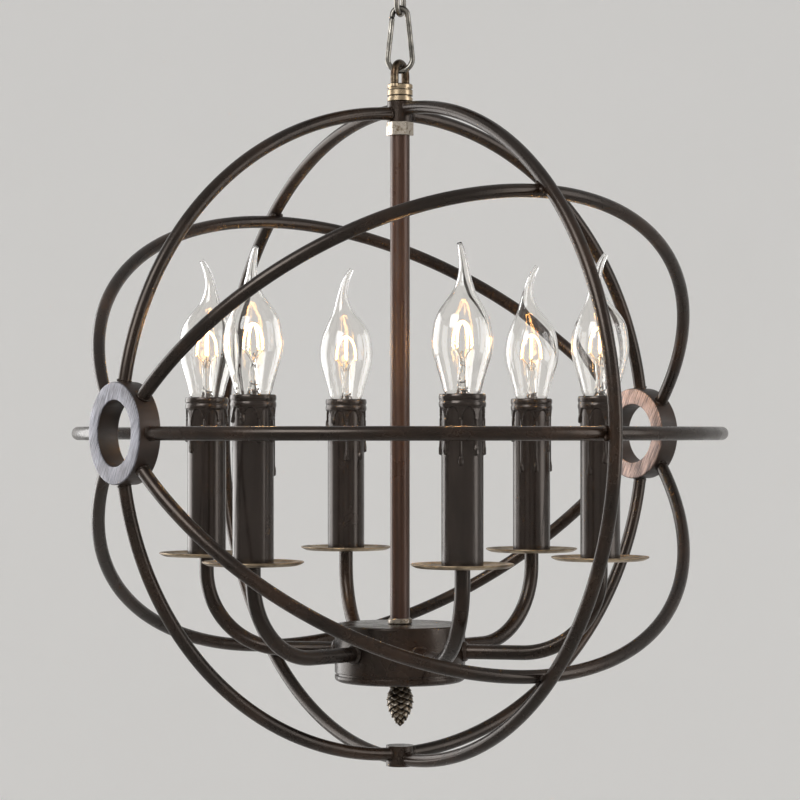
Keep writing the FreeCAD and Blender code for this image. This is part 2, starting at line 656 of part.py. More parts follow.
def bulb_shape(wall):
    """The bulb as a loft of circles along its centre line, each smaller by a wall. The walled
    shape starts lower, which leaves the foot open, and ends sooner, which closes the tip."""
    widest = size("bulb_dia") / 2
    length = size("bulb_length")
    moved = {BULB_RINGS[0][0]: -wall / length, BULB_RINGS[-1][0]: -2 * wall / length}
    rings = []
    for height, share in BULB_RINGS:
        place = height + moved.get(height, 0)
        lean, slope = tail_line(place)
        radius = max(widest * share - wall, wall * 0.4)
        centre = Vector(lean, 0, place * length)
        rings.append(Part.Wire(Part.makeCircle(radius, centre, Vector(slope, 0, 1))))
    return Part.makeLoft(rings, True, False)


def bulb(number):
    turn = TIP_TURNS[number]
    glass = document.addObject("Part::Feature", "bulb_glass_%d" % number)
    glass.Label = glass.Name
    glass.Shape = bulb_shape(0).cut(bulb_shape(size("glass_wall")))
    glass.Placement = at_candle(number, "holder_top + glass_stand", turn)

    cap = "cap_dia / 2"
    contact = "contact_dia / 2"
    turned_body("bulb_cap_%d" % number, [
        ("0", "-cap_height - contact_height"), (contact, "-cap_height - contact_height"),
        (cap + " - cap_edge", "-cap_height"), (cap, "-cap_height + cap_edge"),
        (cap, "glass_stand - weld_gap"), ("0", "glass_stand - weld_gap"),
    ], at_candle(number, "holder_top", turn))


def candles():
    holders = []
    for number in ARMS:
        candle(number)
        bulb(number)
        holders.append(lamp_holder(number))
    group = document.addObject("Part::Compound", "lamp_holders")
    group.Links = holders
    group.Label = "lamp_holders"


# ---- hanging parts ---------------------------------------------------------------------

def rod_between(name, start, end, radius):
    """A round rod from one point to another in the XZ plane."""
    run = end - start
    rod = document.addObject("Part::Cylinder", name)
    rod.setExpression("Radius", bound(radius))
    rod.Height = run.Length
    rod.Placement = Placement(start, Rotation(Vector(0, 0, 1), run))
    return rod


def bend_between(name, centre, bend, wire, start_degrees, end_degrees):
    """An arc of round bar in the XZ plane, angles from +X towards +Z."""
    arc = ring_arc(name, bend, wire, end_degrees - start_degrees)
    arc.Placement = Placement(centre, Rotation(Vector(1, 0, 0), 90) * turn_z(start_degrees))
    return arc


def screw_loop():
    edge = "collar_dia / 2"
    deep = edge + " - collar_groove"
    bore = "thread_bore_dia / 2"
    width = "collar_groove_width"
    low = "0.22 * collar_height"
    high = "0.66 * collar_height"
    collar = new_body("LoopCollar")
    revolve(collar, [
        (bore, "0"), (edge + " - collar_edge", "0"), (edge, "collar_edge"), (edge, low), (deep, low),
        (deep, low + " + " + width), (edge, low + " + " + width), (edge, high), (deep, high),
        (deep, high + " + " + width), (edge, high + " + " + width),
        (edge, "collar_height - collar_edge"), (edge + " - collar_edge", "collar_height"),
        ("0", "collar_height"), ("0", "collar_bore_depth"), (bore, "collar_bore_depth"),
    ])
    collar.Placement = Placement(Vector(0, 0, size("block_top")), Rotation())
    wire = "loop_bar_dia / 2"
    reach = size("loop_radius")
    foot = size("collar_top - loop_root")
    centre = size("loop_centre")
    legs = [rod_between("LoopLeg%s" % tag, Vector(x, 0, foot), Vector(x, 0, centre), wire)
            for tag, x in (("Left", -reach), ("Right", reach))]
    arch = bend_between("LoopArch", Vector(0, 0, centre), "loop_radius", wire, 0, 180)
    fuse("screw_loop", [collar, arch] + legs, at_orb(rotation=turn_z(size("loop_turn"))))


def hook_frame():
    """Centres of the hook's bends and the slope of its legs, from the orb's centre."""
    wide = size("hook_wide_radius")
    narrow = size("hook_narrow_radius")
    span = size("hook_span")
    low = Vector(0, 0, size("hook_low") + wide)
    high = low + Vector(0, 0, span)
    slope = (wide - narrow) / span
    rise = sqrt(1 - slope ** 2)
    return low, high, wide, narrow, slope, rise


def hook_gate_frame():
    """The gate's pin point and its direction down the left leg."""
    low, high, wide, narrow, slope, rise = hook_frame()
    left_low = low + Vector(-wide * rise, 0, wide * slope)
    left_high = high + Vector(-narrow * rise, 0, narrow * slope)
    down = (left_low - left_high).normalize()
    pin = left_high + down * size("gate_pin_place")
    return pin, down, left_low, left_high


def cross_disc(name, centre, radius, thickness):
    """A disc whose axis runs along Y."""
    place = Placement(centre + Vector(0, thickness / 2, 0), Rotation(Vector(1, 0, 0), 90))
    disc = document.addObject("Part::Cylinder", name)
    disc.setExpression("Radius", bound(radius))
    disc.Height = thickness
    disc.Placement = place
    return disc


def slab(name, centre, along, length, width, thickness):
    """A box centred on a point, its length along a direction in the XZ plane."""
    box = document.addObject("Part::Box", name)
    box.Length = length
    box.Width = thickness
    box.Height = width
    turn = Rotation(Vector(1, 0, 0), along)
    corner = centre - turn.multVec(Vector(length / 2, thickness / 2, width / 2))
    box.Placement = Placement(corner, turn)
    return box


def snap_hook():
    """A pear of wire with one leg cut away, its gate hung on a pin in the leg's upper end."""
    low, high, wide, narrow, slope, rise = hook_frame()
    pin, down, left_low, left_high = hook_gate_frame()
    wire = "hook_wire_dia / 2"
    thick = size("hook_wire_dia")
    lean = size("asin(%.9f)" % slope)
    free_end = pin + down * size("gate_length")
    wide_arc = bend_between("HookWideBend", low, "hook_wide_radius", wire, 180 - lean, 360 + lean)
    narrow_arc = bend_between("HookNarrowBend", high, "hook_narrow_radius", wire, lean, 180 - lean)
    right_low = low + Vector(wide * rise, 0, wide * slope)
    right_high = high + Vector(narrow * rise, 0, narrow * slope)
    right = rod_between("HookRightLeg", right_low, right_high, wire)
    stub_low = rod_between("HookLowStub", left_low, free_end + down * size("gate_gap"), wire)
    knuckle_room = size("hook_wire_dia / 2 + gate_gap")
    stub_high = rod_between("HookHighStub", left_high, pin - down * knuckle_room, wire)
    tongue = cross_disc("HookTongue", pin, wire, size("gate_tongue"))
    neck = slab("HookTongueNeck", pin - down * knuckle_room * 0.7, down, knuckle_room * 1.4,
                thick * 0.8, size("gate_tongue"))
    solid = fuse("HookSolid", [wide_arc, narrow_arc, right, stub_low, stub_high, tongue, neck])
    pin_hole = cross_disc("HookPinHole", pin, "gate_pin_dia / 2 + gate_pin_clear", 3 * thick)
    pose = at_orb(rotation=turn_z(size("hook_turn")))
    cut("snap_hook", solid, pin_hole, pose)

    bar = rod_between("GateBar", pin, free_end, wire)
    knuckle = document.addObject("Part::Sphere", "GateKnuckle")
    knuckle.setExpression("Radius", bound(wire))
    knuckle.Placement = Placement(pin, Rotation())
    bar_and_knuckle = fuse("GateSolid", [bar, knuckle])
    slot_width = size("gate_tongue + 2 * gate_pin_clear")
    slot_disc = cross_disc("GateSlotDisc", pin, wire + " + gate_gap", slot_width)
    slot_box = slab("GateSlotBox", pin - down * thick, down, 2 * thick, 3 * thick, slot_width)
    slot = fuse("GateSlot", [slot_disc, slot_box])
    forked = cut("GateForked", bar_and_knuckle, slot)
    gate_pin = cross_disc("GatePin", pin, "gate_pin_dia / 2", thick * 0.86)
    fuse("snap_hook_gate", [forked, gate_pin], pose)


def chain_link():
    wire = "link_wire_dia / 2"
    bend = size("link_bend")
    low = Vector(0, 0, size("link_low") + bend)
    high = Vector(0, 0, size("link_high") - bend)
    pieces = [
        bend_between("LinkLowBend", low, "link_bend", wire, 180, 360),
        bend_between("LinkHighBend", high, "link_bend", wire, 0, 180),
        rod_between("LinkLeft", low - Vector(bend, 0, 0), high - Vector(bend, 0, 0), wire),
        rod_between("LinkRight", low + Vector(bend, 0, 0), high + Vector(bend, 0, 0), wire),
    ]
    fuse("chain_link", pieces, at_orb(rotation=turn_z(size("link_turn"))))


def ceiling_fitting():
    """The eye that the chain hangs in, and the rose it screws into."""
    ring = bend_between("EyeRing", Vector(0, 0, size("eye_low + eye_bend")), "eye_bend",
                        "eye_wire_dia / 2", 0, 360)
    flange = cylinder("EyeFlange", "eye_flange_dia / 2", "eye_flange_height",
                      Placement(Vector(0, 0, size("rose_face - eye_flange_height")), Rotation()))
    shank = cylinder("EyeShank", "eye_shank_dia / 2", "eye_shank_grip",
                     Placement(Vector(0, 0, size("rose_face")), Rotation()))
    fuse("ceiling_eye", [ring, flange, shank], at_orb(rotation=turn_z(size("hook_turn"))))

    rose = new_body("ceiling_rose")
    edge = "rose_dia / 2"
    boss = "rose_boss_dia / 2"
    bore = "eye_shank_dia / 2 + thread_clear"
    bore_end = "eye_shank_grip + thread_room - rose_depth"
    revolve(rose, [
        (bore, "-rose_depth"), (boss, "-rose_depth"), (boss + " + 0.11 * rose_slope", "-0.86 * rose_depth"),
        (boss + " + 0.32 * rose_slope", "-0.52 * rose_depth"),
        (boss + " + 0.68 * rose_slope", "-0.29 * rose_depth"),
        (boss + " + 0.92 * rose_slope", "-rose_rim_height"), (edge, "-0.75 * rose_rim_height"),
        (edge, "0"), ("0", "0"), ("0", bore_end), (bore, bore_end),
    ])
    sketch = sketch_on(rose, "XY_Plane", "ScrewHoleOutline")
    add_circle(sketch, "rose_screw_circle / 2", "0", "rose_screw_dia", "right")
    add_circle(sketch, "-rose_screw_circle / 2", "0", "rose_screw_dia", "left")
    holes = rose.newObject("PartDesign::Pocket", "ScrewHoles")
    holes.Profile = sketch
    holes.setExpression("Length", bound("rose_depth"))
    document.recompute()


# ---- build and write -------------------------------------------------------------------

NODES = (
    ["ceiling_rose", "ceiling_eye", "chain_link", "snap_hook", "snap_hook_gate", "screw_loop"]
    + ["top_pole_block", "bottom_pole_block", "hub_left", "hub_right"]
    + ["level_hoop_front", "level_hoop_rear", "tilted_hoop_a_upper_arc", "tilted_hoop_a_lower_arc"]
    + ["tilted_hoop_b_upper_arc", "tilted_hoop_b_lower_arc", "cross_hoop_front", "cross_hoop_rear"]
    + ["upright_hoop_%s_%s" % (end, side) for end in ("top", "bottom") for side in ("left", "right")]
    + ["stem_tube", "stem_top_nut", "stem_foot_nut", "pot_shell", "pot_lid", "pine_cone_finial"]
    + ["arm_nuts", "lamp_holders"]
    + ["%s_%d" % (name, number)
       for name in ("arm", "drip_pan", "candle_sleeve", "bulb_glass", "bulb_cap") for number in ARMS]
)


def find(label):
    found = [thing for thing in document.Objects if thing.Label == label]
    if len(found) != 1:
        raise RuntimeError("%s: %d objects" % (label, len(found)))
    return found[0]


def check_states():
    for thing in document.Objects:
        if {"Invalid", "Error"} & set(thing.State):
            raise RuntimeError("%s: %s" % (thing.Label, thing.State))


def write_nodes():
    os.makedirs("parts", exist_ok=True)
    for label in NODES:
        shape = find(label).Shape
        if shape.isNull() or not shape.isValid():
            raise RuntimeError("%s: shape is null or invalid" % label)
        shape.exportStep("parts/%s.step" % label)


fill_sheet()
globe()
stem()
pot()
finial()
arms()
arm_nuts()
candles()
screw_loop()
snap_hook()
chain_link()
ceiling_fitting()
document.recompute()
check_states()
write_nodes()
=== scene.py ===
"""Dresses the orb chandelier: finishes for its hoops and fittings, waxed candle sleeves,
bent-tip bulbs with filaments, a pine-cone finial and weld beads, on a pale studio stage.
Lengths are metres in the frame of the ceiling rose: +Z up, +X along the axis of the hubs."""
from math import atan, cos, pi, radians, sin

import bpy
import numpy as np
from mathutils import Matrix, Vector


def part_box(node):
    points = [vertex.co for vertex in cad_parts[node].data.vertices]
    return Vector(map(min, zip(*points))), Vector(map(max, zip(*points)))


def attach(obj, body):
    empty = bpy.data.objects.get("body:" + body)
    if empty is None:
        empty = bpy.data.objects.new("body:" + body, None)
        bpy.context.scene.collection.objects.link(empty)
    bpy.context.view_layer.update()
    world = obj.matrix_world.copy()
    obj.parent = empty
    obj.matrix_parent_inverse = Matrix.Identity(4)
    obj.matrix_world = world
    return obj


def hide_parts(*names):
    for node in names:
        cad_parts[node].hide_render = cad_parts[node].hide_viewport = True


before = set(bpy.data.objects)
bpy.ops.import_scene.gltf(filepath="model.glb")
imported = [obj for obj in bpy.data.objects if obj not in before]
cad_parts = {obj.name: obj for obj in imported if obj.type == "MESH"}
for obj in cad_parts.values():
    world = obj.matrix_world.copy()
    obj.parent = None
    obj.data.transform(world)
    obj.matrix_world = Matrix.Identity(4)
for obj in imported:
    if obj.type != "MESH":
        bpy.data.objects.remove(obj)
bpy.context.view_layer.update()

bl_info = {
    "name": "Orb chandelier dressing",
    "version": (1, 0, 0),
    "blender": (4, 5, 0),
    "location": "3D View > Sidebar > Chandelier",
    "description": "Gives a globe of hoops its finishes, candles, bulbs, finial, welds and stage",
    "category": "Object",
}

CANDLES = range(1, 7)
UP = np.array((0.0, 0.0, 1.0))
RIGHT = np.array((1.0, 0.0, 0.0))  # along the hub axis, towards the right hub
IN_PLAN = np.array((1.0, 1.0, 0.0))  # times a place: the same place at height 0
ORIGIN = np.zeros(3)  # on the stem's axis, at height 0


# ---- places read from the frame ----

def low(node):
    return np.array(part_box(node)[0])


def high(node):
    return np.array(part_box(node)[1])


def middle(node):
    return (low(node) + high(node)) / 2


def half(node, way=0):
    """Half a node's size along one axis: 0 for X, 1 for Y and 2 for Z."""
    return (high(node) - low(node))[way] / 2


ORB = np.array((0.0, 0.0, middle("hub_left")[2]))  # middle of the globe
HUB_RADIUS = half("hub_left", 2)
HUB_OUT = abs(middle("hub_left")[0])  # middle of the globe to the middle of a hub
HUB_HALF = half("hub_left")
BAR = half("level_hoop_front", 2)  # radius of a hoop bar
HOOP = np.hypot(HUB_OUT, HUB_RADIUS)  # globe's middle to a hoop's centre line
LID_FOOT = low("pot_lid")[2]
FINIAL_TIP = low("pine_cone_finial")[2]
POT_RADIUS = half("pot_lid")

# ---- sizes of the part that no box gives ----

ROOT = 0.0006  # a bar's end goes this far into the hub or block that it is welded to
HUB_BORE = 0.019
SHEET = 0.0014  # pot and lid
STEM_HOLE = 0.00515  # radius, in the pot
STUD, STUD_HOLE = 0.003, 0.0032  # radii, of the finial's stud and of its hole in the lid
ARM_RADIUS, ARM_BEND = 0.0045, 0.048
ARM_END = 0.0084  # pot's outside to an arm's end inside it
ARM_COLLAR = 0.00625  # radius of the solid collar, which is the lowest part of an arm
PAN_HOLE, PAN_SHEET = 0.0046, 0.001
SLEEVE_RADIUS, SLEEVE_BORE = 0.0120, 0.0107
BULB_RADIUS = 0.0175
LOOP_COLLAR = 0.011  # height of the screw loop's collar
SHARP = 32.0  # degrees between two faces from which their edge shows


def candle_place(number):
    """Where a candle's axis stands, at height 0."""
    return middle("candle_sleeve_%d" % number) * IN_PLAN


def unit(ways):
    """Vectors brought to length 1."""
    return ways / np.linalg.norm(ways, axis=-1, keepdims=True)


def round_axis(tilt):
    """Direction square to the hub axis, tilted up from the rear (+Y) by some degrees."""
    return np.array((0.0, cos(radians(tilt)), sin(radians(tilt))))


# ---- settings ----

def colour(name, description, value):
    return bpy.props.FloatVectorProperty(name=name, description=description, subtype="COLOR",
                                         size=3, min=0.0, max=1.0, default=value)


def length(name, description, value, top):
    return bpy.props.FloatProperty(name=name, description=description, default=value,
                                   min=0.0, max=top, unit="LENGTH", subtype="DISTANCE")


class CHANDELIER_PG_finishes(bpy.types.PropertyGroup):
    """Colours of the chandelier's finishes."""

    bronze: colour("Bronze", "Dark bronze of hoops, arms and pot", (0.0065, 0.0045, 0.0036))
    bronze_warm: colour("Warm bronze", "Brown that shows through the bronze",
                        (0.034, 0.018, 0.0105))
    stem: colour("Stem", "Warm brown of the centre stem", (0.070, 0.032, 0.018))
    hub_face: colour("Hub face", "Worn, brushed face of the left hub", (0.190, 0.190, 0.215))
    # The right hub's bare face: brushed metal with a copper tint that is painted warm light from
    # the bulbs, not wear.
    hub_warm: colour("Hub tint", "Copper-worn face of the right hub", (0.370, 0.265, 0.225))
    brass: colour("Brass", "Antique brass of pans and loop", (0.43, 0.335, 0.225))
    brass_dark: colour("Aged brass", "Tarnish in the brass", (0.11, 0.080, 0.050))
    nickel: colour("Worn plating", "Worn, silvery plating of the stem's nuts", (0.40, 0.355, 0.30))
    steel: colour("Steel", "Steel of hook and chain", (0.25, 0.235, 0.21))
    sleeve: colour("Sleeve", "Black-brown of the candle sleeves", (0.0085, 0.0058, 0.0046))
    filament: colour("Filament", "Light of the filaments", (1.0, 0.56, 0.20))


class CHANDELIER_PG_candles(bpy.types.PropertyGroup):
    """Wax and bulb sizes that a user may change."""

    wax_depth: length("Wax depth", "How far the wax stands off the sleeve", 0.0015, 0.002)
    longest_drip: length("Longest drip", "Rim to the end of the longest drip", 0.048, 0.08)
    glass_wall: length("Glass wall", "Wall of a bulb", 0.0008, 0.002)
    glow: bpy.props.FloatProperty(name="Glow", description="Strength of the filaments' light",
                                  default=80.0, min=0.0, max=1000.0)


class CHANDELIER_PG_stage(bpy.types.PropertyGroup):
    """Camera and light levels."""

    distance: length("Distance", "Camera to the globe's middle", 1.631, 10.0)
    turn: bpy.props.FloatProperty(name="Turn", description="Camera's turn about the globe",
                                  default=radians(-35.64), subtype="ANGLE", unit="ROTATION")
    focal: bpy.props.FloatProperty(name="Lens", description="Focal length in millimetres",
                                   default=119.6, min=20.0, max=400.0)
    key_power: bpy.props.FloatProperty(name="Key light", description="Power of the key light",
                                       default=36.0, min=0.0, max=2000.0, unit="POWER")


def candle_sizes():
    return bpy.context.scene.chandelier_candles


# ---- surfaces ----

class Skin:
    """Collects grids of points into one mesh object."""

    def __init__(self):
        self.points, self.quads, self.tris, self.tones, self.count = [], [], [], [], 0

    def add(self, grid, closed=False, capped=(True, True), tone=None):
        """grid[i, j]: i runs along the form and j round it, turning left as seen from its far end,
        so that faces look outwards. closed joins the last row to the first. Otherwise each capped
        end is closed by a fan. tone[i, j] is kept as a point value for the finish."""
        rows, across = grid.shape[:2]
        flat = grid.reshape(-1, 3)
        i = np.arange(rows if closed else rows - 1)
        j = np.arange(across)
        here, there = (i * across)[:, None], (((i + 1) % rows) * across)[:, None]
        beside = (j + 1) % across
        quads = np.stack(np.broadcast_arrays(here + j, here + beside, there + beside, there + j),
                         -1)
        base = self.count
        self.quads.append(quads.reshape(-1, 4) + base)
        self.points.append(flat)
        self.tones.append(np.zeros(len(flat)) if tone is None else tone.ravel())
        self.count += len(flat)
        for wanted, row, flip in zip(capped, (0, rows - 1), (True, False)):
            if wanted and not closed:
                self.fan(grid[row], base + row * across, flip)
        return self

    def fan(self, ring, first, flip):
        """Triangles from the ring's mean point to its sides; flip turns them the other way."""
        rim = first + np.arange(len(ring))
        beside = first + (np.arange(len(ring)) + 1) % len(ring)
        pair = (beside, rim) if flip else (rim, beside)
        self.tris.append(np.stack((*pair, np.full(len(ring), self.count)), -1))
        self.points.append(ring.mean(0, keepdims=True))
        self.tones.append(np.zeros(1))
        self.count += 1

    def mesh_object(self, name, material, sharp=SHARP):
        """Makes the mesh and its object, smooth but for edges sharper than the given angle."""
        points = np.concatenate(self.points)
        quads = np.concatenate(self.quads)
        tris = np.concatenate(self.tris) if self.tris else np.zeros((0, 3), int)
        mesh = bpy.data.meshes.new(name)
        mesh.vertices.add(len(points))
        mesh.vertices.foreach_set("co", points.astype(np.float32).ravel())
        corners = np.concatenate((quads.ravel(), tris.ravel()))
        sizes = np.concatenate((np.full(len(quads), 4), np.full(len(tris), 3)))
        starts = np.concatenate(((0,), np.cumsum(sizes)[:-1]))
        mesh.loops.add(len(corners))
        mesh.loops.foreach_set("vertex_index", corners.astype(np.int32))
        mesh.polygons.add(len(sizes))
        mesh.polygons.foreach_set("loop_start", starts.astype(np.int32))
        mesh.update(calc_edges=True)
        mesh.validate()
        mesh.polygons.foreach_set("use_smooth", np.ones(len(mesh.polygons), bool))
        mesh.set_sharp_from_angle(angle=radians(sharp))
        mesh.materials.append(material)
        tones = np.concatenate(self.tones)
        if tones.any():
            mesh.attributes.new("tone", "FLOAT", "POINT").data.foreach_set("value", tones)
        thing = bpy.data.objects.new(name, mesh)
        bpy.context.scene.collection.objects.link(thing)
        return thing

    def build(self, name, body, slot, material, node=None, sharp=SHARP):
        """Makes the object, puts it on its body and hides the CAD node that it stands for."""
        thing = self.mesh_object(name, material, sharp)
        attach(thing, body)
        if node:
            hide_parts(node)
        return thing


def turns(count):
    """Angles once round, without the last."""
    return np.linspace(0, 2 * pi, count, endpoint=False)


def circle(angles, first, second):
    """cos a * first + sin a * second, for each angle a."""
    return np.cos(angles)[:, None] * first + np.sin(angles)[:, None] * second


def lathe(outline, foot, count, axis=UP, side=RIGHT):
    """Turns an outline of (radius, height) pairs about an axis through foot: each point goes to
    foot + height * axis + radius * (cos a * side + sin a * (axis x side))."""
    outline = np.asarray(outline, float)
    spokes = circle(turns(count), side, np.cross(axis, side))
    return foot + outline[:, 1, None, None] * axis + outline[:, 0, None, None] * spokes


def tube(path, ways, side, radius, count):
    """A round tube along a flat path: each ring is path + r * (cos a * n - sin a * side), with
    side square to the path's plane and n square to both side and the path's direction."""
    normal = np.cross(side, ways)
    return path[:, None] + radius * circle(turns(count), normal[:, None], -side)


def arc_tube(centre, first, second, bend, radius, start, end, steps, count=32):
    """A tube along an arc: centre + bend * (cos t * first + sin t * second)."""
    t = np.linspace(start, end, steps)
    path = centre + bend * circle(t, first, second)
    return tube(path, circle(t, second, -first), np.cross(first, second), radius, count)


def eased(outline, radii, steps=5):
    """An outline whose corners are rounded: each corner gives way to a quadratic curve that starts
    and ends its radius away along the two sides."""
    points = np.asarray(outline, float)
    out = []
    for k, point in enumerate(points):
        if radii[k] <= 0:
            out.append(point[None])
            continue
        before, after = points[k - 1] - point, points[(k + 1) % len(points)] - point
        a = point + before / np.linalg.norm(before) * radii[k]
        b = point + after / np.linalg.norm(after) * radii[k]
        t = np.linspace(0, 1, steps)[:, None]
        out.append((1 - t) ** 2 * a + 2 * t * (1 - t) * point + t ** 2 * b)
    return np.concatenate(out)


def smooth_through(x, xs, ys):
    """A curve through given points: cubic pieces whose slope at each point is the mean slope
    between its neighbours."""
    xs, ys = np.asarray(xs, float), np.asarray(ys, float)
    slopes = np.gradient(ys, xs)
    k = np.clip(np.searchsorted(xs, x, side="right") - 1, 0, len(xs) - 2)
    gap = xs[k + 1] - xs[k]
    t = (x - xs[k]) / gap
    return ((2 * t ** 3 - 3 * t ** 2 + 1) * ys[k] + (t ** 3 - 2 * t ** 2 + t) * gap * slopes[k]
            + (3 * t ** 2 - 2 * t ** 3) * ys[k + 1] + (t ** 3 - t ** 2) * gap * slopes[k + 1])


# ---- finishes ----

class Nodes:
    """A Principled material and the few node steps its finish needs."""

    def __init__(self, name):
        self.material = bpy.data.materials.new(name)
        self.material.use_nodes = True
        self.tree = self.material.node_tree
        self.shader = self.tree.nodes["Principled BSDF"]
        self.place = self.step("TexCoord", "Object", {})

    def step(self, kind, out, inputs, **manner):
        """Adds a node of a kind and sets its properties, then its inputs, each from a value or
        another node's output. Gives its own output."""
        node = self.tree.nodes.new("ShaderNode" + kind)
        for key, value in manner.items():
            setattr(node, key, value)
        for key, value in inputs.items():
            if isinstance(value, bpy.types.NodeSocket):
                self.tree.links.new(value, node.inputs[key])
            else:
                node.inputs[key].default_value = value
        return node.outputs[out]

    def set(self, **values):
        for key, value in values.items():
            self.shader.inputs[key.replace("_", " ")].default_value = value
        return self

    def link(self, source, target):
        self.tree.links.new(source, self.shader.inputs[target])

    def stretched(self, scale, turn=(0.0, 0.0, 0.0)):
        """The place turned, then scaled along each axis."""
        return self.step("Mapping", "Vector", {
            "Vector": self.place, "Scale": [1 / value for value in scale], "Rotation": turn,
        }, vector_type="TEXTURE")

    def noise(self, scale, detail=4.0, rough=0.55, vector=None):
        return self.step("TexNoise", "Fac", {
            "Vector": vector or self.place, "Scale": scale, "Detail": detail, "Roughness": rough})

    def ramp(self, source, stops):
        """Colours that follow the source, from (value, colour) stops."""
        ramp = self.step("ValToRGB", "Color", {"Fac": source})
        bar = ramp.node.color_ramp
        while len(bar.elements) < len(stops):
            bar.elements.new(0.5)
        for element, (at, tint) in zip(bar.elements, stops):
            element.position, element.color = at, tint
        return ramp

    def span(self, source, least, most, start=0.3, end=0.7):
        """The source from start to end, spread over least to most. Most noise is 0.3 to 0.7."""
        return self.step("MapRange", "Result", {
            "Value": source, "From Min": start, "From Max": end, "To Min": least, "To Max": most})

    def sums(self, how, a, b=0.0):
        return self.step("Math", "Value", {0: a, 1: b}, operation=how)

    def mix(self, share, a, b):
        """From a to b by the share. The sockets are the share's and the two for colours."""
        return self.step("Mix", 2, {0: share, 6: a, 7: b}, data_type="RGBA")

    def done(self, base, rough, height, strength, depth=0.0002, **values):
        """Links the colour, the roughness and the bump's height, and sets the other values."""
        self.link(base, "Base Color")
        self.link(rough, "Roughness")
        self.link(self.step("Bump", "Normal", {
            "Height": height, "Strength": strength, "Distance": depth}), "Normal")
        return self.set(**values).material

    def tone(self):
        """The point value that a Skin keeps."""
        return self.step("Attribute", "Fac", {}, attribute_name="tone")

    def axis(self, letter):
        return self.step("SeparateXYZ", letter, {"Vector": self.place})


def kept(make):
    """A finish is made once and shared by the pieces that have it."""
    name = "finish." + make.__name__
    return bpy.data.materials.get(name) or make(name)


def shade(tint, factor=1.0):
    """A colour made lighter or darker by a factor, with its alpha of 1. A name stands for one of
    the user's colours."""
    if isinstance(tint, str):
        tint = getattr(bpy.context.scene.chandelier_finishes, tint)
    return (*(value * factor for value in tint), 1.0)


def bronze(name):
    """Near-black oil-rubbed bronze: brown clouds, darker flecks and a fine orange-peel."""
    n = Nodes(name)
    flecks = n.span(n.noise(160.0, 4.0, 0.6), 0.0, 0.6, 0.45, 0.75)
    clouds = n.ramp(n.noise(16.0), [(0.42, shade("bronze")), (0.80, shade("bronze_warm"))])
    return n.done(n.mix(flecks, clouds, shade("bronze", 0.5)),
                  n.span(n.noise(60.0, 5.0), 0.20, 0.34), n.noise(900.0, 2.0), 0.10,
                  Specular_IOR_Level=0.36, Specular_Tint=(1.0, 0.86, 0.76, 1.0))


def stem_bronze(name):
    """Warmer brown bronze with faint upright draw lines."""
    n = Nodes(name)
    lines = n.noise(1.0, 4.0, 0.6, n.stretched((500.0, 500.0, 9.0)))
    return n.done(n.ramp(lines, [(0.32, shade("stem", 0.5)), (0.72, shade("stem"))]),
                  n.span(n.noise(40.0), 0.24, 0.40), lines, 0.10, Metallic=0.35)


def hub_finish(name):
    """Dark bronze whose end faces are worn through to brushed metal with slanting grain: grey on
    the left hub and coppery on the right, where the copper tint is painted warm light from the
    bulbs. The worn share is 1 where the distance from the hub's middle plane is that of the end
    faces."""
    n = Nodes(name)
    away = n.sums("SUBTRACT", n.sums("ABSOLUTE", n.axis("X")), HUB_OUT)
    worn = n.span(n.sums("ABSOLUTE", away), 0.0, 1.0, HUB_HALF - 0.0007, HUB_HALF - 0.0002)
    grain = n.noise(1.0, 6.0, 0.65, n.stretched((60.0, 1500.0, 70.0), (radians(28.0), 0.0, 0.0)))
    # From 0 at the left hub to 1 at the right: how far painted warm bulb light tints the bare
    # metal.
    right = n.span(n.axis("X"), 0.0, 1.0, -HUB_OUT, HUB_OUT)
    bare = n.mix(right, shade("hub_face"), shade("hub_warm"))
    dull = n.mix(n.span(n.noise(70.0), 0.0, 0.45, 0.35, 0.7), bare, shade("bronze_warm"))
    lined = n.mix(n.span(grain, 0.0, 0.85, 0.42, 0.60), dull, shade("hub_face", 0.15))
    dark = n.ramp(n.noise(30.0), [(0.3, shade("bronze")), (0.7, shade("bronze_warm"))])
    n.link(n.span(worn, 0.05, 0.85, 0.0, 1.0), "Metallic")
    return n.done(n.mix(worn, dark, lined), n.span(grain, 0.36, 0.52), grain, 0.15, 0.0003,
                  Specular_IOR_Level=0.4)


def aged_brass(name):
    """Satin brass with brown tarnish clouds and fine scratches."""
    n = Nodes(name)
    clouds = n.noise(75.0, 5.0, 0.6)
    scratch = n.noise(1.0, 3.0, 0.6, n.stretched((1500.0, 90.0, 600.0), (0.3, 0.2, 0.7)))
    base = n.ramp(clouds, [(0.32, shade("brass_dark")), (0.62, shade("brass"))])
    return n.done(n.mix(n.span(scratch, 0.0, 0.5, 0.5, 0.7), base, shade("brass_dark")),
                  n.span(clouds, 0.46, 0.26), scratch, 0.08, Metallic=1.0)


def loop_brass(name):
    """The same brass: two black lines round the collar, and the loop above it dark with age. The
    lines lie where the height below the collar's top is a whole number of their spacing."""
    n = Nodes(name)
    collar_top = low("screw_loop")[2] + LOOP_COLLAR
    spacing = 0.0036
    clouds = n.noise(190.0, 5.0, 0.65)
    bare = n.ramp(clouds, [(0.25, shade("brass", 0.5)), (0.6, shade("brass"))])
    aged = n.ramp(clouds, [(0.40, shade("bronze_warm")), (0.80, shade("brass", 0.5))])
    height = n.sums("DIVIDE", n.sums("SUBTRACT", n.axis("Z"), collar_top), spacing)
    line = n.span(n.sums("PINGPONG", height, 0.5), 0.95, 0.0, 0.06, 0.14)
    above = n.span(n.axis("Z"), 0.0, 1.0, collar_top, collar_top + 0.0006)
    return n.done(n.mix(above, n.mix(line, bare, shade("bronze")), aged),
                  n.span(clouds, 0.38, 0.22), clouds, 0.10, Metallic=1.0)


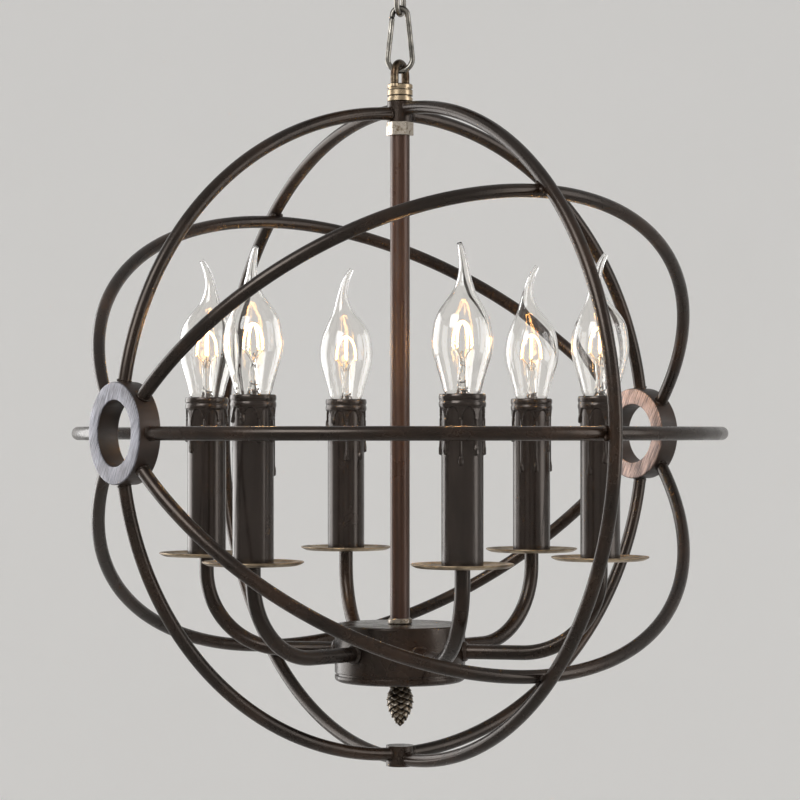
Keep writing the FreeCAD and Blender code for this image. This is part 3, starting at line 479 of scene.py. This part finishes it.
def worn_nickel(name):
    """Silvery plating with brown specks where it has worn."""
    n = Nodes(name)
    specks = n.noise(330.0, 5.0, 0.7)
    return n.done(n.ramp(specks, [(0.36, shade("brass_dark")), (0.50, shade("nickel"))]),
                  n.span(specks, 0.42, 0.26, 0.35, 0.6), specks, 0.12, Metallic=1.0)


def cast_bronze(name):
    """Cast metal, black in the gaps between the scales and rubbed bright on their tips."""
    n = Nodes(name)
    rubbed = n.sums("ADD", n.tone(), n.span(n.noise(420.0), -0.22, 0.22))
    return n.done(n.ramp(rubbed, [(0.12, shade("bronze")), (0.36, shade("brass_dark")),
                                  (0.66, shade("nickel"))]),
                  n.span(rubbed, 0.45, 0.22, 0.2, 0.9), n.noise(900.0, 3.0), 0.15, Metallic=0.9)


def dark_steel(name):
    """Steel wire, drawn smooth, with darker clouds of oxide."""
    n = Nodes(name)
    spots = n.noise(120.0, 4.0, 0.6)
    return n.done(n.ramp(spots, [(0.34, shade("steel", 0.3)), (0.58, shade("steel"))]),
                  n.span(spots, 0.28, 0.14), n.noise(700.0, 3.0), 0.05, 0.0001, Metallic=1.0)


def sleeve_black(name):
    """Satin black-brown moulding with a little warm mottling and a fine ripple."""
    n = Nodes(name)
    clouds = n.noise(70.0)
    return n.done(n.ramp(clouds, [(0.3, shade("sleeve", 0.7)), (0.78, shade("sleeve", 2.0))]),
                  n.span(clouds, 0.20, 0.28), n.noise(150.0, 2.0), 0.05,
                  Specular_IOR_Level=0.5, Specular_Tint=(1.0, 0.88, 0.80, 1.0))


def clear_glass(name):
    """Clear blown glass with a very slight tint that drifts."""
    n = Nodes(name)
    tints = [(0.2, (0.985, 0.975, 0.955, 1.0)), (0.8, (1.0, 0.995, 0.985, 1.0))]
    n.link(n.ramp(n.noise(60.0, 2.0), tints), "Base Color")
    return n.set(Metallic=0.0, Roughness=0.0, IOR=1.45, Transmission_Weight=1.0).material


def glowing(name):
    """Hot filament: orange metal that gives light."""
    n = Nodes(name)
    tints = [(0.3, (0.8, 0.34, 0.09, 1.0)), (0.7, (1.0, 0.58, 0.24, 1.0))]
    n.link(n.ramp(n.noise(800.0, 2.0), tints), "Base Color")
    return n.set(Roughness=0.5, Emission_Color=shade("filament"),
                 Emission_Strength=candle_sizes().glow).material


def plain_metal(name, tint, rough=0.3, metallic=1.0):
    """A metal or moulding with slight mottling, for caps, wires, nuts and holders."""
    n = Nodes(name)
    spots = n.noise(300.0)
    return n.done(n.ramp(spots, [(0.3, shade(tint, 0.75)), (0.7, shade(tint))]),
                  n.span(spots, rough + 0.08, rough - 0.06), spots, 0.05, 0.0001,
                  Metallic=metallic)


def dress(node, material):
    """Gives a CAD node its finish, and smooth shading between its sharp edges."""
    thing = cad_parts[node]
    faces = thing.data.polygons
    thing.data.materials.clear()
    thing.data.materials.append(material)
    faces.foreach_set("material_index", np.zeros(len(faces), np.int32))
    faces.foreach_set("use_smooth", np.ones(len(faces), bool))
    thing.modifiers.new("Weld", "WELD").merge_threshold = 1e-6
    thing.modifiers.new("Sharp edges", "EDGE_SPLIT").split_angle = radians(SHARP)


# ---- operators ----

class Maker(bpy.types.Operator):
    """Shared manners of the operators: work that can't finish raises."""

    bl_options = {"REGISTER", "UNDO"}

    def execute(self, context):
        self.make(context)
        return {"FINISHED"}


class CHANDELIER_OT_fittings(Maker):
    """Gives the carried-over fittings their finishes."""

    bl_idname = "chandelier.fittings"
    bl_label = "Fittings"

    def make(self, context):
        caps = ["bulb_cap_%d" % number for number in CANDLES]
        holder = plain_metal("finish.holder", (0.05, 0.05, 0.052), 0.4, 0.0)
        nuts = plain_metal("finish.nuts", (0.55, 0.55, 0.53), 0.28)
        cap = plain_metal("finish.cap", (0.70, 0.69, 0.66), 0.25)
        for material, nodes in (
                (kept(bronze), ("ceiling_rose", "top_pole_block", "bottom_pole_block")),
                (kept(worn_nickel), ("stem_top_nut", "stem_foot_nut")),
                (kept(loop_brass), ("screw_loop",)),
                (kept(dark_steel), ("ceiling_eye", "chain_link", "snap_hook", "snap_hook_gate")),
                (kept(stem_bronze), ("stem_tube",)),
                (holder, ("lamp_holders",)), (nuts, ("arm_nuts",)), (cap, caps)):
            for node in nodes:
                dress(node, material)


class CHANDELIER_OT_hoops(Maker):
    """Round bars of the globe. Each arc is a tube along a circle through both hubs, or, for the
    cross hoop, along a circle set a little outwards."""

    bl_idname = "chandelier.hoops"
    bl_label = "Hoops"

    def make(self, context):
        start = np.arcsin((HUB_RADIUS - ROOT) / HOOP)
        arcs = {
            "level_hoop_rear": 0, "tilted_hoop_b_upper_arc": 45, "tilted_hoop_a_upper_arc": 135,
            "level_hoop_front": 180, "tilted_hoop_b_lower_arc": 225,
            "tilted_hoop_a_lower_arc": 315,
        }
        for node, tilt in arcs.items():
            self.bar(node, arc_tube(ORB, RIGHT, round_axis(tilt), HOOP, BAR, start, pi - start,
                                    200))
        for end, up in (("top", 1), ("bottom", -1)):
            stop = np.arccos((half("%s_pole_block" % end) - ROOT) / HOOP)
            for side, way in (("right", 1), ("left", -1)):
                self.bar("upright_hoop_%s_%s" % (end, side),
                         arc_tube(ORB, RIGHT * way, UP * up, HOOP, BAR, start, stop, 100))
        self.cross_hoop()

    @staticmethod
    def bar(node, grid):
        Skin().add(grid).build(node + "_bar", "orb", "dark_bronze", kept(bronze), node)

    def cross_hoop(self):
        """Half circles whose middles stand off the stem. A circle of this bend, shifted outwards,
        passes through the node's outermost point and through the point over the stem at its
        height: bend + shift = reach and bend ^ 2 - shift ^ 2 = tall ^ 2."""
        for node, way in (("cross_hoop_front", -1), ("cross_hoop_rear", 1)):
            reach = max(abs(low(node)[1]), abs(high(node)[1])) - BAR
            tall = half(node, 2) - BAR
            shift = (reach ** 2 - tall ** 2) / (2 * reach)
            bend = reach - shift
            out = np.array((0.0, float(way), 0.0))
            stop = np.arccos((half("top_pole_block") - ROOT - shift) / bend)
            self.bar(node, arc_tube(ORB + out * shift, out, UP, bend, BAR, -stop, stop, 220))


class CHANDELIER_OT_hubs(Maker):
    """Two open hubs, each a turned ring with eased edges."""

    bl_idname = "chandelier.hubs"
    bl_label = "Hubs"

    def make(self, context):
        worn = kept(hub_finish)
        inner, outer = 0.0008, 0.001  # easing of the edges
        ring = [(HUB_BORE, -HUB_HALF), (HUB_RADIUS, -HUB_HALF), (HUB_RADIUS, HUB_HALF),
                (HUB_BORE, HUB_HALF)]
        outline = eased(ring, [inner, outer, outer, inner])
        for side, way in (("left", -1), ("right", 1)):
            grid = lathe(outline, ORB + RIGHT * HUB_OUT * way, 160, RIGHT, UP)
            Skin().add(grid, closed=True).build(
                "hub_%s_ring" % side, "orb", "worn_bronze", worn, "hub_" + side)


class CHANDELIER_OT_welds(Maker):
    """Weld beads: uneven rings round the bars at hubs and blocks, and lumps where bars cross."""

    bl_idname = "chandelier.welds"
    bl_label = "Welds"

    @staticmethod
    def bead(skin, centre, axis, side, bend, thick, chance):
        """A ring about axis whose thickness swells with a few waves of chance phase."""
        a = turns(40)
        waves = sum(np.sin(k * a + chance.uniform(0, 2 * pi)) for k in (2, 3, 5, 9))
        size = thick * (1 + 0.20 * waves)
        out = circle(a, side, np.cross(axis, side))
        rings = size[:, None, None] * circle(turns(10), out[:, None], -axis)
        skin.add((centre + bend * out)[:, None] + rings, closed=True)

    @staticmethod
    def lump(skin, centre, axes, sizes, chance):
        """A ball pulled to three sizes along three axes, its radius varied by a few waves."""
        end = 0.12  # angle at each end that a fan closes
        u = np.linspace(end, pi - end, 14)[:, None]
        v = turns(20)[None]
        swell = 1 + 0.07 * np.sin(3 * v + 4 * u + chance.uniform(0, 6)) * np.sin(u)
        ball = np.stack((swell * np.sin(u) * np.cos(v), swell * np.sin(u) * np.sin(v),
                         -np.cos(u) * np.ones_like(v)), -1)
        skin.add(centre + (ball * sizes) @ axes)

    def make(self, context):
        chance = np.random.default_rng(7)
        skin = Skin()
        self.hub_beads(skin, chance)
        self.pole_beads(skin, chance)
        self.crossings(skin, chance)
        skin.build("weld_beads", "orb", "dark_bronze", kept(bronze), sharp=60.0)

    def hub_beads(self, skin, chance):
        past_rim, sunk, thick = 0.0022, 0.0002, 0.00055  # an angle, then lengths
        start = np.arcsin(HUB_RADIUS / HOOP) + past_rim
        for way in (-1, 1):
            x = RIGHT * way
            for tilt in range(0, 360, 45):
                out = round_axis(tilt)
                place = ORB + HOOP * (cos(start) * x + sin(start) * out)
                along = -sin(start) * x + cos(start) * out
                self.bead(skin, place, along, np.cross(x, out), BAR - sunk, thick, chance)

    def pole_beads(self, skin, chance):
        lower, stand, sunk, thick = 0.0002, 0.0002, 0.0003, 0.0006
        cross_top = high("cross_hoop_front")[2] - ORB[2] - BAR
        for end, up in (("top", 1), ("bottom", -1)):
            block = half("%s_pole_block" % end)
            for out, lift in zip(np.array(((1.0, 0, 0), (-1.0, 0, 0), (0, 1.0, 0), (0, -1.0, 0))),
                                 (HOOP, HOOP, cross_top, cross_top)):
                place = ORB + UP * up * (lift - lower) + out * (block + stand)
                self.bead(skin, place, out, UP, BAR - sunk, thick, chance)

    def crossings(self, skin, chance):
        """Lumps between the cross hoop and the hoops that it passes over: four at each crossing,
        the same step away from it along both bars."""
        sunk, step = 0.0006, 0.0026
        sizes = np.array((0.0021, 0.0021, 0.0015))
        for tilt in (0, 45, 135, 180, 225, 315):
            out = round_axis(tilt)
            axes = np.stack((RIGHT, np.cross(out, RIGHT), out))
            for dx in (-step, step):
                for dy in (-step, step):
                    place = ORB + out * (HOOP + BAR - sunk) + dx * axes[0] + dy * axes[1]
                    self.lump(skin, place, axes, sizes, chance)


class CHANDELIER_OT_arms(Maker):
    """Six bent tubes: level out of the pot, a quarter bend up, upright into the pan."""

    bl_idname = "chandelier.arms"
    bl_label = "Arms"

    def make(self, context):
        level = low("arm_1")[2] + ARM_COLLAR
        # (radius, distance out) of the collar, and the easing of its corners
        sunk = ARM_RADIUS - 0.0004
        collar = eased([(sunk, 0.0), (0.0060, 0.0), (0.0062, 0.0016), (0.0052, 0.0030),
                        (sunk, 0.0030)], [0, 0.0004, 0.0005, 0.0004, 0])
        for number in CANDLES:
            place = candle_place(number)
            way = unit(place)
            top = high("arm_%d" % number)[2]
            skin = Skin().add(self.bent(way, np.linalg.norm(place), level, top))
            root = way * (POT_RADIUS - 0.0006) + level * UP
            skin.add(lathe(collar, root, 48, way, UP), closed=True)
            skin.build("arm_%d_tube" % number, "orb", "dark_bronze", kept(bronze),
                       "arm_%d" % number)

    @staticmethod
    def bent(way, reach, level, top):
        """The tube: its centre line runs level to a bend before its reach, turns up through a
        quarter circle and rises to the top."""
        run = np.linspace(POT_RADIUS - ARM_END, reach - ARM_BEND, 12)
        turn = np.linspace(-pi / 2, 0, 40)[1:]
        rise = np.linspace(level + ARM_BEND, top, 10)[1:]
        away = np.concatenate((run, reach - ARM_BEND + ARM_BEND * np.cos(turn),
                               np.full(len(rise), reach)))
        height = np.concatenate((np.full(len(run), level),
                                 level + ARM_BEND + ARM_BEND * np.sin(turn), rise))
        lean = np.concatenate((np.zeros(len(run)), turn + pi / 2, np.full(len(rise), pi / 2)))
        path = away[:, None] * way + height[:, None] * UP
        return tube(path, circle(lean, way, UP), np.cross(way, UP), ARM_RADIUS, 32)


class CHANDELIER_OT_pot(Maker):
    """Pot and lid as turned forms with eased rims and the recessed band between them."""

    bl_idname = "chandelier.pot"
    bl_label = "Pot"

    def make(self, context):
        dark = kept(bronze)
        radius = POT_RADIUS
        inside = radius - SHEET
        top, foot = high("pot_shell")[2], low("pot_shell")[2]
        edge = 0.0006
        shell = eased([(STEM_HOLE, top), (radius - edge, top), (radius, top - edge),
                       (radius, foot), (inside, foot), (inside, top - SHEET),
                       (STEM_HOLE, top - SHEET)],
                      [0, 0.0008, 0.0008, 0.0005, 0.0004, 0.0004, 0])
        Skin().add(lathe(shell, ORIGIN, 160), closed=True).build(
            "pot_shell_cup", "orb", "dark_bronze", dark, "pot_shell")
        rim, spigot_top, floor = LID_FOOT + 0.0044, foot + 0.003, LID_FOOT + SHEET
        neck, spigot, spigot_bore = radius - 0.0009, radius - 0.0016, radius - 0.0030
        lid = eased([(STUD_HOLE, LID_FOOT), (radius - 0.003, LID_FOOT),
                     (radius, LID_FOOT + 0.0016), (radius, rim), (neck, rim), (neck, foot),
                     (spigot, foot), (spigot, spigot_top), (spigot_bore, spigot_top),
                     (spigot_bore, floor), (STUD_HOLE, floor)],
                    [0, 0.0016, 0.0014, 0.0005, 0, 0, 0, 0, 0, 0, 0])
        Skin().add(lathe(lid, ORIGIN, 160), closed=True).build(
            "pot_lid_cap", "orb", "dark_bronze", dark, "pot_lid")


CONE_DEPTHS = [0, 0.05, 0.12, 0.27, 0.42, 0.56, 0.72, 0.86, 0.95, 1.0]  # shares of the drop
CONE_SHARES = [0.70, 0.69, 0.70, 0.88, 0.93, 0.86, 0.66, 0.38, 0.17, 0.02]  # of the radius


class CHANDELIER_OT_finial(Maker):
    """A hanging pine cone. Its radius is a turned outline plus a lattice of scales: two families
    of spirals cut the surface into cells, and in each cell the surface rises towards the tip."""

    bl_idname = "chandelier.finial"
    bl_label = "Finial"

    def make(self, context):
        left, right, climb = 7, 5, 7.6  # spirals of each family, and scales from neck to tip
        relief, scale_sag = 0.0019, 0.0009
        s = np.linspace(0.0, 0.995, 230)[:, None]
        a = turns(180)
        wide = half("pine_cone_finial")
        outline = wide * smooth_through(s, CONE_DEPTHS, CONE_SHARES)
        cell_u = (left * a / (2 * pi) + climb * s) % 1.0
        cell_v = (-right * a / (2 * pi) + climb * s) % 1.0
        rise = (cell_u * cell_v) ** 0.6 * (1 - np.maximum(cell_u, cell_v) ** 12)
        fade = np.clip((s - 0.05) / 0.05, 0, 1) * np.clip((1.0 - s) / 0.10, 0.15, 1)
        radius = np.minimum(outline + relief * fade * (rise - 0.55), wide)
        sag = scale_sag * fade * rise * (s < 0.96)
        height = LID_FOOT - s * (LID_FOOT - FINIAL_TIP) - sag
        grid = np.stack((radius * np.cos(a), radius * np.sin(a), height), -1)
        skin = Skin().add(grid[::-1], tone=rise[::-1])
        stud = [(STUD, LID_FOOT - 0.001), (STUD, high("pine_cone_finial")[2])]
        skin.add(lathe(stud, ORIGIN, 24))
        skin.build("pine_cone", "orb", "cast_bronze", kept(cast_bronze), "pine_cone_finial",
                   sharp=50.0)


class CHANDELIER_OT_pans(Maker):
    """Six thin dished pans with a rolled edge."""

    bl_idname = "chandelier.pans"
    bl_label = "Drip pans"

    def make(self, context):
        brass = kept(aged_brass)
        lip, rim_width = 0.0006, 0.0035
        for number in CANDLES:
            node = "drip_pan_%d" % number
            foot, top, radius = low(node)[2], high(node)[2], half(node)
            floor = foot + PAN_SHEET
            outline = eased([(PAN_HOLE, foot), (radius - rim_width, foot),
                             (radius - lip, top - 2 * lip), (radius, top - lip),
                             (radius - 0.0008, top), (radius - 0.0040, floor), (PAN_HOLE, floor)],
                            [0, 0.0014, 0.0004, 0.0006, 0.0005, 0.0014, 0])
            skin = Skin().add(lathe(outline, candle_place(number), 120), closed=True)
            skin.build(node + "_dish", "orb", "antique_brass", brass, node)


class CHANDELIER_OT_sleeves(Maker):
    """Six candle sleeves with melted wax round the rim: the wax ends at a scalloped edge with long
    drips, and its thickness eases to nothing there, with a fuller bead at the end of each drip."""

    bl_idname = "chandelier.sleeves"
    bl_label = "Candle sleeves"

    def make(self, context):
        for number in CANDLES:
            self.one(number)

    def one(self, number):
        """The wall from its foot up, then over the lip and down the bore."""
        node = "candle_sleeve_%d" % number
        foot, top, outer = low(node)[2], high(node)[2], half(node)
        a = turns(216)
        chance = np.random.default_rng(40 + number)
        # depths below the rim, close together where the wax is
        depth = np.concatenate((np.linspace(0.0002, 0.050, 168),
                                np.linspace(0.052, top - foot, 16)))
        relief = self.wax(a, depth, candle_sizes(), chance)
        radius = SLEEVE_RADIUS + np.clip(relief, 0.0, outer - SLEEVE_RADIUS)
        wall = np.stack((radius * np.cos(a), radius * np.sin(a),
                         (top - depth)[:, None] * np.ones_like(a)), -1)[::-1]
        edge = 0.0006
        lip = lathe([(outer - 0.0007, top - 0.0002), (outer - 0.0012, top),
                     (SLEEVE_BORE + edge, top), (SLEEVE_BORE, top - edge), (SLEEVE_BORE, foot)],
                    ORIGIN, len(a))
        grid = np.concatenate((wall, lip)) + candle_place(number)
        Skin().add(grid, closed=True).build(node + "_wax", "orb", "sleeve_black",
                                            kept(sleeve_black), node, sharp=55.0)

    @staticmethod
    def wax(a, depth, candles, chance):
        """Thickness of wax over angle and depth. The wax ends where its reach inside the edge is
        0: below a collar the edge runs in arches, whose legs go down as drips with round ends.
        The thickness rises from that edge along a smooth step."""
        arches, crown, leg = 8, 0.0080, 0.0075  # crown: rim to an arch's top; leg: its height
        bead_up, bead_long, end_up = 0.0028, 0.0030, 0.0017  # above a drip's lowest point
        edge, lip_in, lip_wide = 0.0009, 0.0008, 0.0006  # in from the wax's edge
        d = depth[:, None]
        pitch = 2 * pi / arches
        phase = chance.uniform(0, pitch)
        x = ((a - phase + pitch / 2) % pitch - pitch / 2) * SLEEVE_RADIUS
        half_arch = 0.0037 + 0.0003 * np.sin(2 * a + phase)
        arch = 1 - np.sqrt(np.clip(1 - (x / half_arch) ** 2, 0, 1))
        inside = crown + leg * arch - d
        bulge = np.zeros((len(depth), len(a)))
        for k in range(arches):
            x = ((a - phase - (k + 0.5) * pitch + pi) % (2 * pi) - pi) * SLEEVE_RADIUS
            reach = chance.choice([0.36, 0.44, 0.60, 0.74, 0.86, 1.0]) * candles.longest_drip
            drop = np.exp(-((d - reach + bead_up) / bead_long) ** 2)
            wide = chance.uniform(0.0009, 0.0012) + 0.0006 * drop
            end = np.hypot(x, np.maximum(d - reach + end_up, 0.0))
            drip = np.where(d < crown, -1.0, wide - np.where(d > reach - end_up, end, np.abs(x)))
            bulge = np.maximum(bulge, np.where(drip > 0, drop, 0.0))
            inside = np.maximum(inside, drip)
        rise = np.clip(inside / edge, 0, 1)
        cover = rise * rise * (3 - 2 * rise)
        bands = np.sqrt(np.abs(np.sin(pi * np.clip(d / crown, 0, 1) * 2))) * (d < crown)
        lip = np.exp(-((inside - lip_in) / lip_wide) ** 2)
        share = np.maximum(0.55 + 0.45 * bands, 0.55 + 0.20 * lip * (d > 0.006) + 0.40 * bulge)
        return cover * candles.wax_depth * share


BULB_HEIGHTS = [0.0, 0.03, 0.06, 0.145, 0.22, 0.3, 0.375, 0.45, 0.53, 0.6, 0.68, 0.755, 0.83, 0.91,
                0.965, 1.0]  # shares of a bulb's height
BULB_SHARES = [0.41, 0.455, 0.57, 0.71, 0.83, 0.95, 1.0, 0.97, 0.88, 0.69, 0.42, 0.27, 0.18, 0.135,
               0.105, 0.08]  # shares of its widest radius at those heights
TAIL_START = 0.45  # share of the height where the centre line starts to lean
INNER_TOP = 0.985  # share of the height where the hollow ends
LEAD_FOOT, LEAD_RISE = 0.024, 0.0075  # heights over the bulb's foot, of the lead wires


class CHANDELIER_OT_bulbs(Maker):
    """Six bent-tip bulbs: a thin glass shell whose rings follow a leaning centre line, a flared
    glass mount inside it, lead wires and two crossed filament loops."""

    bl_idname = "chandelier.bulbs"
    bl_label = "Bulbs"

    def make(self, context):
        wire = plain_metal("finish.wire", (0.45, 0.40, 0.34))
        for number in CANDLES:
            node = "bulb_glass_%d" % number
            foot = candle_place(number) + UP * low(node)[2]
            tall = 2 * half(node, 2)
            tip = self.tip_way(node, foot, tall)
            body = "bulb_%d" % number
            side = unit(tip)
            other = np.cross(UP, side)
            self.shell(node, foot, tall, tip, body)
            self.mount(number, foot, side, other, body)
            self.wires(number, foot, side, other, wire, body)

    @staticmethod
    def tip_way(node, foot, tall):
        """The level way from the bulb's axis to the node's own tip, by its highest points."""
        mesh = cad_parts[node].data
        points = np.zeros(len(mesh.vertices) * 3, np.float32)
        mesh.vertices.foreach_get("co", points)
        points = points.reshape(-1, 3)
        tip = points[points[:, 2] > foot[2] + 0.985 * tall].mean(0) - foot
        return tip * IN_PLAN

    @staticmethod
    def line(h, foot, tall, tip):
        """Centre line and its slope: upright, then leaning back a little and over to the tip, as
        the cubic 6.6 s^3 - 5.6 s^2 of the share s of the tail."""
        s = np.clip((h - TAIL_START) / (1 - TAIL_START), 0, 1)
        lean = 6.6 * s ** 3 - 5.6 * s ** 2
        slope = (19.8 * s ** 2 - 11.2 * s) / ((1 - TAIL_START) * tall)
        return foot + (h * tall)[:, None] * UP + lean[:, None] * tip, slope

    def shell(self, node, foot, tall, tip, body):
        """Two walls of rings square to the centre line, the inner one from its top down and then
        the outer one up, closed by a small cap at the tip."""
        reach = np.linalg.norm(tip)
        way = tip / reach
        side = np.cross(UP, way)
        h = np.concatenate((np.linspace(0, 0.6, 60), np.linspace(0.61, 0.992, 46)))
        outer = BULB_RADIUS * smooth_through(h, BULB_HEIGHTS, BULB_SHARES)
        walls = []
        for cut, highest in ((0.0, 1.0), (candle_sizes().glass_wall, INNER_TOP)):
            path, slope = self.line(np.minimum(h, highest), foot, tall, tip)
            normal = np.cross(side, unit(UP + (slope * reach)[:, None] * way))
            radius = np.maximum(outer - cut, outer * 0.35)[:, None, None]
            walls.append(path[:, None] + radius * circle(turns(64), normal[:, None], side))
        last = walls[0][-1]
        cap = last.mean(0) + 0.25 * (last - last.mean(0)) + UP * 0.0003
        skin = Skin().add(np.concatenate((walls[1][::-1], walls[0], cap[None])))
        skin.build(node + "_shell", body, "clear_glass", kept(clear_glass), node,
                   sharp=70.0).visible_shadow = False

    def mount(self, number, foot, side, other, body):
        """The flared glass tube that carries the wires: wide at its foot and pinched flat."""
        z = np.linspace(0.0012, 0.030, 40)
        radius = smooth_through(z, [0.001, 0.004, 0.009, 0.016, 0.022, 0.027, 0.030],
                                [0.0062, 0.0052, 0.0034, 0.0026, 0.0030, 0.0026, 0.0010])
        flat = 1 - 0.55 * np.clip((z - 0.016) / 0.008, 0, 1)
        grid = foot + z[:, None, None] * UP + radius[:, None, None] * circle(
            turns(40), side, flat[:, None, None] * other)
        Skin().add(grid).build("bulb_mount_%d" % number, body, "clear_glass",
                               kept(clear_glass), sharp=70.0).visible_shadow = False

    def wires(self, number, foot, side, other, wire, body):
        """Lead wires rise from the mount and spread; each filament is a fine coil that climbs from
        one lead over the top and down to the other."""
        leads, coils = Skin(), Skin()
        for out, across in ((side, other), (other, side)):
            for sign in (-1, 1):
                t = np.linspace(0, 1, 14)
                away = sign * (0.0012 + 0.0050 * t ** 1.6)
                path = foot + (LEAD_FOOT + LEAD_RISE * t)[:, None] * UP + away[:, None] * out
                leads.add(tube(path, unit(np.gradient(path, axis=0)), across, 0.00028, 8))
            self.coil(coils, foot + (LEAD_FOOT + LEAD_RISE) * UP, out, across)
        leads.build("lead_wires_%d" % number, body, "plated_steel", wire)
        coils.build("filament_%d" % number, body, "plated_steel", kept(glowing), sharp=80.0)

    @staticmethod
    def coil(skin, base, out, across):
        """A coil of small turns round an arch: arch(t) = spread * cos(pi t) outwards and rise *
        sin(pi t) ^ 0.8 up, with a circle that goes round it the given number of times."""
        spread, rise, around, windings, thick = 0.0062, 0.0150, 0.00055, 26, 0.00022
        t = np.linspace(0.0, 1.0, 520)
        arch = (base + (spread * np.cos(pi * t))[:, None] * out
                + (rise * np.sin(pi * t) ** 0.8)[:, None] * UP)
        normal = np.cross(across, unit(np.gradient(arch, axis=0)))
        path = arch + around * circle(2 * pi * windings * t, normal, across)
        ways = unit(np.gradient(path, axis=0))
        first = unit(np.cross(ways, arch - base + 0.01 * across))
        second = np.cross(ways, first)
        skin.add(path[:, None] + thick * circle(turns(6), first[:, None], second[:, None]))


LAMPS = (
    # name, metres to the right of the globe's middle, nearer the camera and up, width, height,
    # share of the key light's power
    ("key", -1.1, 1.5, 1.2, 1.2, 1.2, 1.0),
    ("left_wall", -1.3, -0.75, 0.1, 1.2, 1.3, 0.52),
    ("right_fill", 1.6, 0.5, 0.3, 0.8, 1.4, 0.3),
)
SENSOR = 36.0  # width in millimetres
PICTURE = 800.0  # width in pixels
MIDDLE_DOWN = 33.4  # pixels from the picture's middle down to the globe's


class CHANDELIER_OT_stage(Maker):
    """Pale floor, plain world, soft lights and the camera at the photograph's angle."""

    bl_idname = "chandelier.stage"
    bl_label = "Stage"

    def make(self, context):
        scene = context.scene
        stage = scene.chandelier_stage
        self.floor()
        self.world(scene)
        right = np.array((cos(stage.turn), sin(stage.turn), 0.0))
        back = np.array((sin(stage.turn), -cos(stage.turn), 0.0))
        for name, across, nearer, up, wide, tall, share in LAMPS:
            self.lamp(name, ORB + nearer * back + across * right + up * UP, wide, tall,
                      share * stage.key_power)
        self.camera(scene, stage, back)
        scene.view_settings.view_transform = "Standard"

    @staticmethod
    def floor():
        """A round floor that curves up into a wall all round, so that no edge shows."""
        level, reach, curve, wall = ORB[2] - 3.3, 4.4, 2.0, 5.2
        t = np.linspace(0, pi / 2, 24)
        radius = np.concatenate(((0.02, 1.5), reach - curve + curve * np.sin(t), (reach,)))
        height = np.concatenate(((0.0, 0.0), curve - curve * np.cos(t), (wall,))) + level
        n = Nodes("pale_floor")
        tints = [(0.3, (0.915, 0.91, 0.90, 1.0)), (0.7, (0.93, 0.925, 0.915, 1.0))]
        n.link(n.ramp(n.noise(1.5, 3.0), tints), "Base Color")
        bowl = lathe(np.stack((radius, height), -1), ORIGIN, 128)[::-1]
        skin = Skin().add(bowl, capped=(False, True))
        skin.mesh_object("floor", n.set(Roughness=0.9).material)

    @staticmethod
    def world(scene):
        """Even pale light from all round."""
        scene.world = scene.world or bpy.data.worlds.new("studio")
        scene.world.use_nodes = True
        back = scene.world.node_tree.nodes["Background"]
        back.inputs["Color"].default_value = (0.86, 0.85, 0.84, 1.0)
        back.inputs["Strength"].default_value = 0.62

    @staticmethod
    def lamp(name, place, wide, tall, power):
        """A rectangle of light that faces the globe's middle."""
        light = bpy.data.lights.new(name, "AREA")
        light.shape = "RECTANGLE"
        light.size, light.size_y = wide, tall
        light.energy = power
        thing = bpy.data.objects.new(name, light)
        bpy.context.scene.collection.objects.link(thing)
        thing.location = place
        thing.rotation_euler = Vector(ORB - place).to_track_quat("-Z", "Y").to_euler()

    @staticmethod
    def camera(scene, stage, back):
        """Level with the globe's middle, pitched up so that the globe sits low in the picture."""
        data = bpy.data.cameras.new("photo_angle")
        data.sensor_width = SENSOR
        data.lens = stage.focal
        data.clip_end = 50.0
        thing = bpy.data.objects.new("photo_angle", data)
        scene.collection.objects.link(thing)
        thing.location = ORB + stage.distance * back
        pitch = atan(MIDDLE_DOWN / (stage.focal / SENSOR * PICTURE))
        thing.rotation_euler = (pi / 2 + pitch, 0.0, stage.turn)
        scene.camera = thing


OPERATORS = (
    CHANDELIER_OT_fittings, CHANDELIER_OT_hoops, CHANDELIER_OT_hubs, CHANDELIER_OT_welds,
    CHANDELIER_OT_arms, CHANDELIER_OT_pot, CHANDELIER_OT_finial, CHANDELIER_OT_pans,
    CHANDELIER_OT_sleeves, CHANDELIER_OT_bulbs, CHANDELIER_OT_stage,
)
GROUPS = {
    "chandelier_finishes": CHANDELIER_PG_finishes,
    "chandelier_candles": CHANDELIER_PG_candles,
    "chandelier_stage": CHANDELIER_PG_stage,
}


class CHANDELIER_PT_panel(bpy.types.Panel):
    """Lists the makers and their settings."""

    bl_label = "Chandelier"
    bl_idname = "CHANDELIER_PT_panel"
    bl_space_type = "VIEW_3D"
    bl_region_type = "UI"
    bl_category = "Chandelier"

    def draw(self, context):
        for group in GROUPS:
            box = self.layout.box()
            for name in getattr(context.scene, group).__annotations__:
                box.prop(getattr(context.scene, group), name)
        for maker in OPERATORS:
            self.layout.operator(maker.bl_idname)


def register():
    for group in (*GROUPS.values(), *OPERATORS, CHANDELIER_PT_panel):
        bpy.utils.register_class(group)
    for name, group in GROUPS.items():
        setattr(bpy.types.Scene, name, bpy.props.PointerProperty(type=group))


def unregister():
    for name in GROUPS:
        delattr(bpy.types.Scene, name)
    for group in (CHANDELIER_PT_panel, *reversed(OPERATORS), *reversed(GROUPS.values())):
        bpy.utils.unregister_class(group)


def main():
    register()
    for maker in OPERATORS:
        family, name = maker.bl_idname.split(".")
        getattr(getattr(bpy.ops, family), name)()


if __name__ == "__main__":
    main()
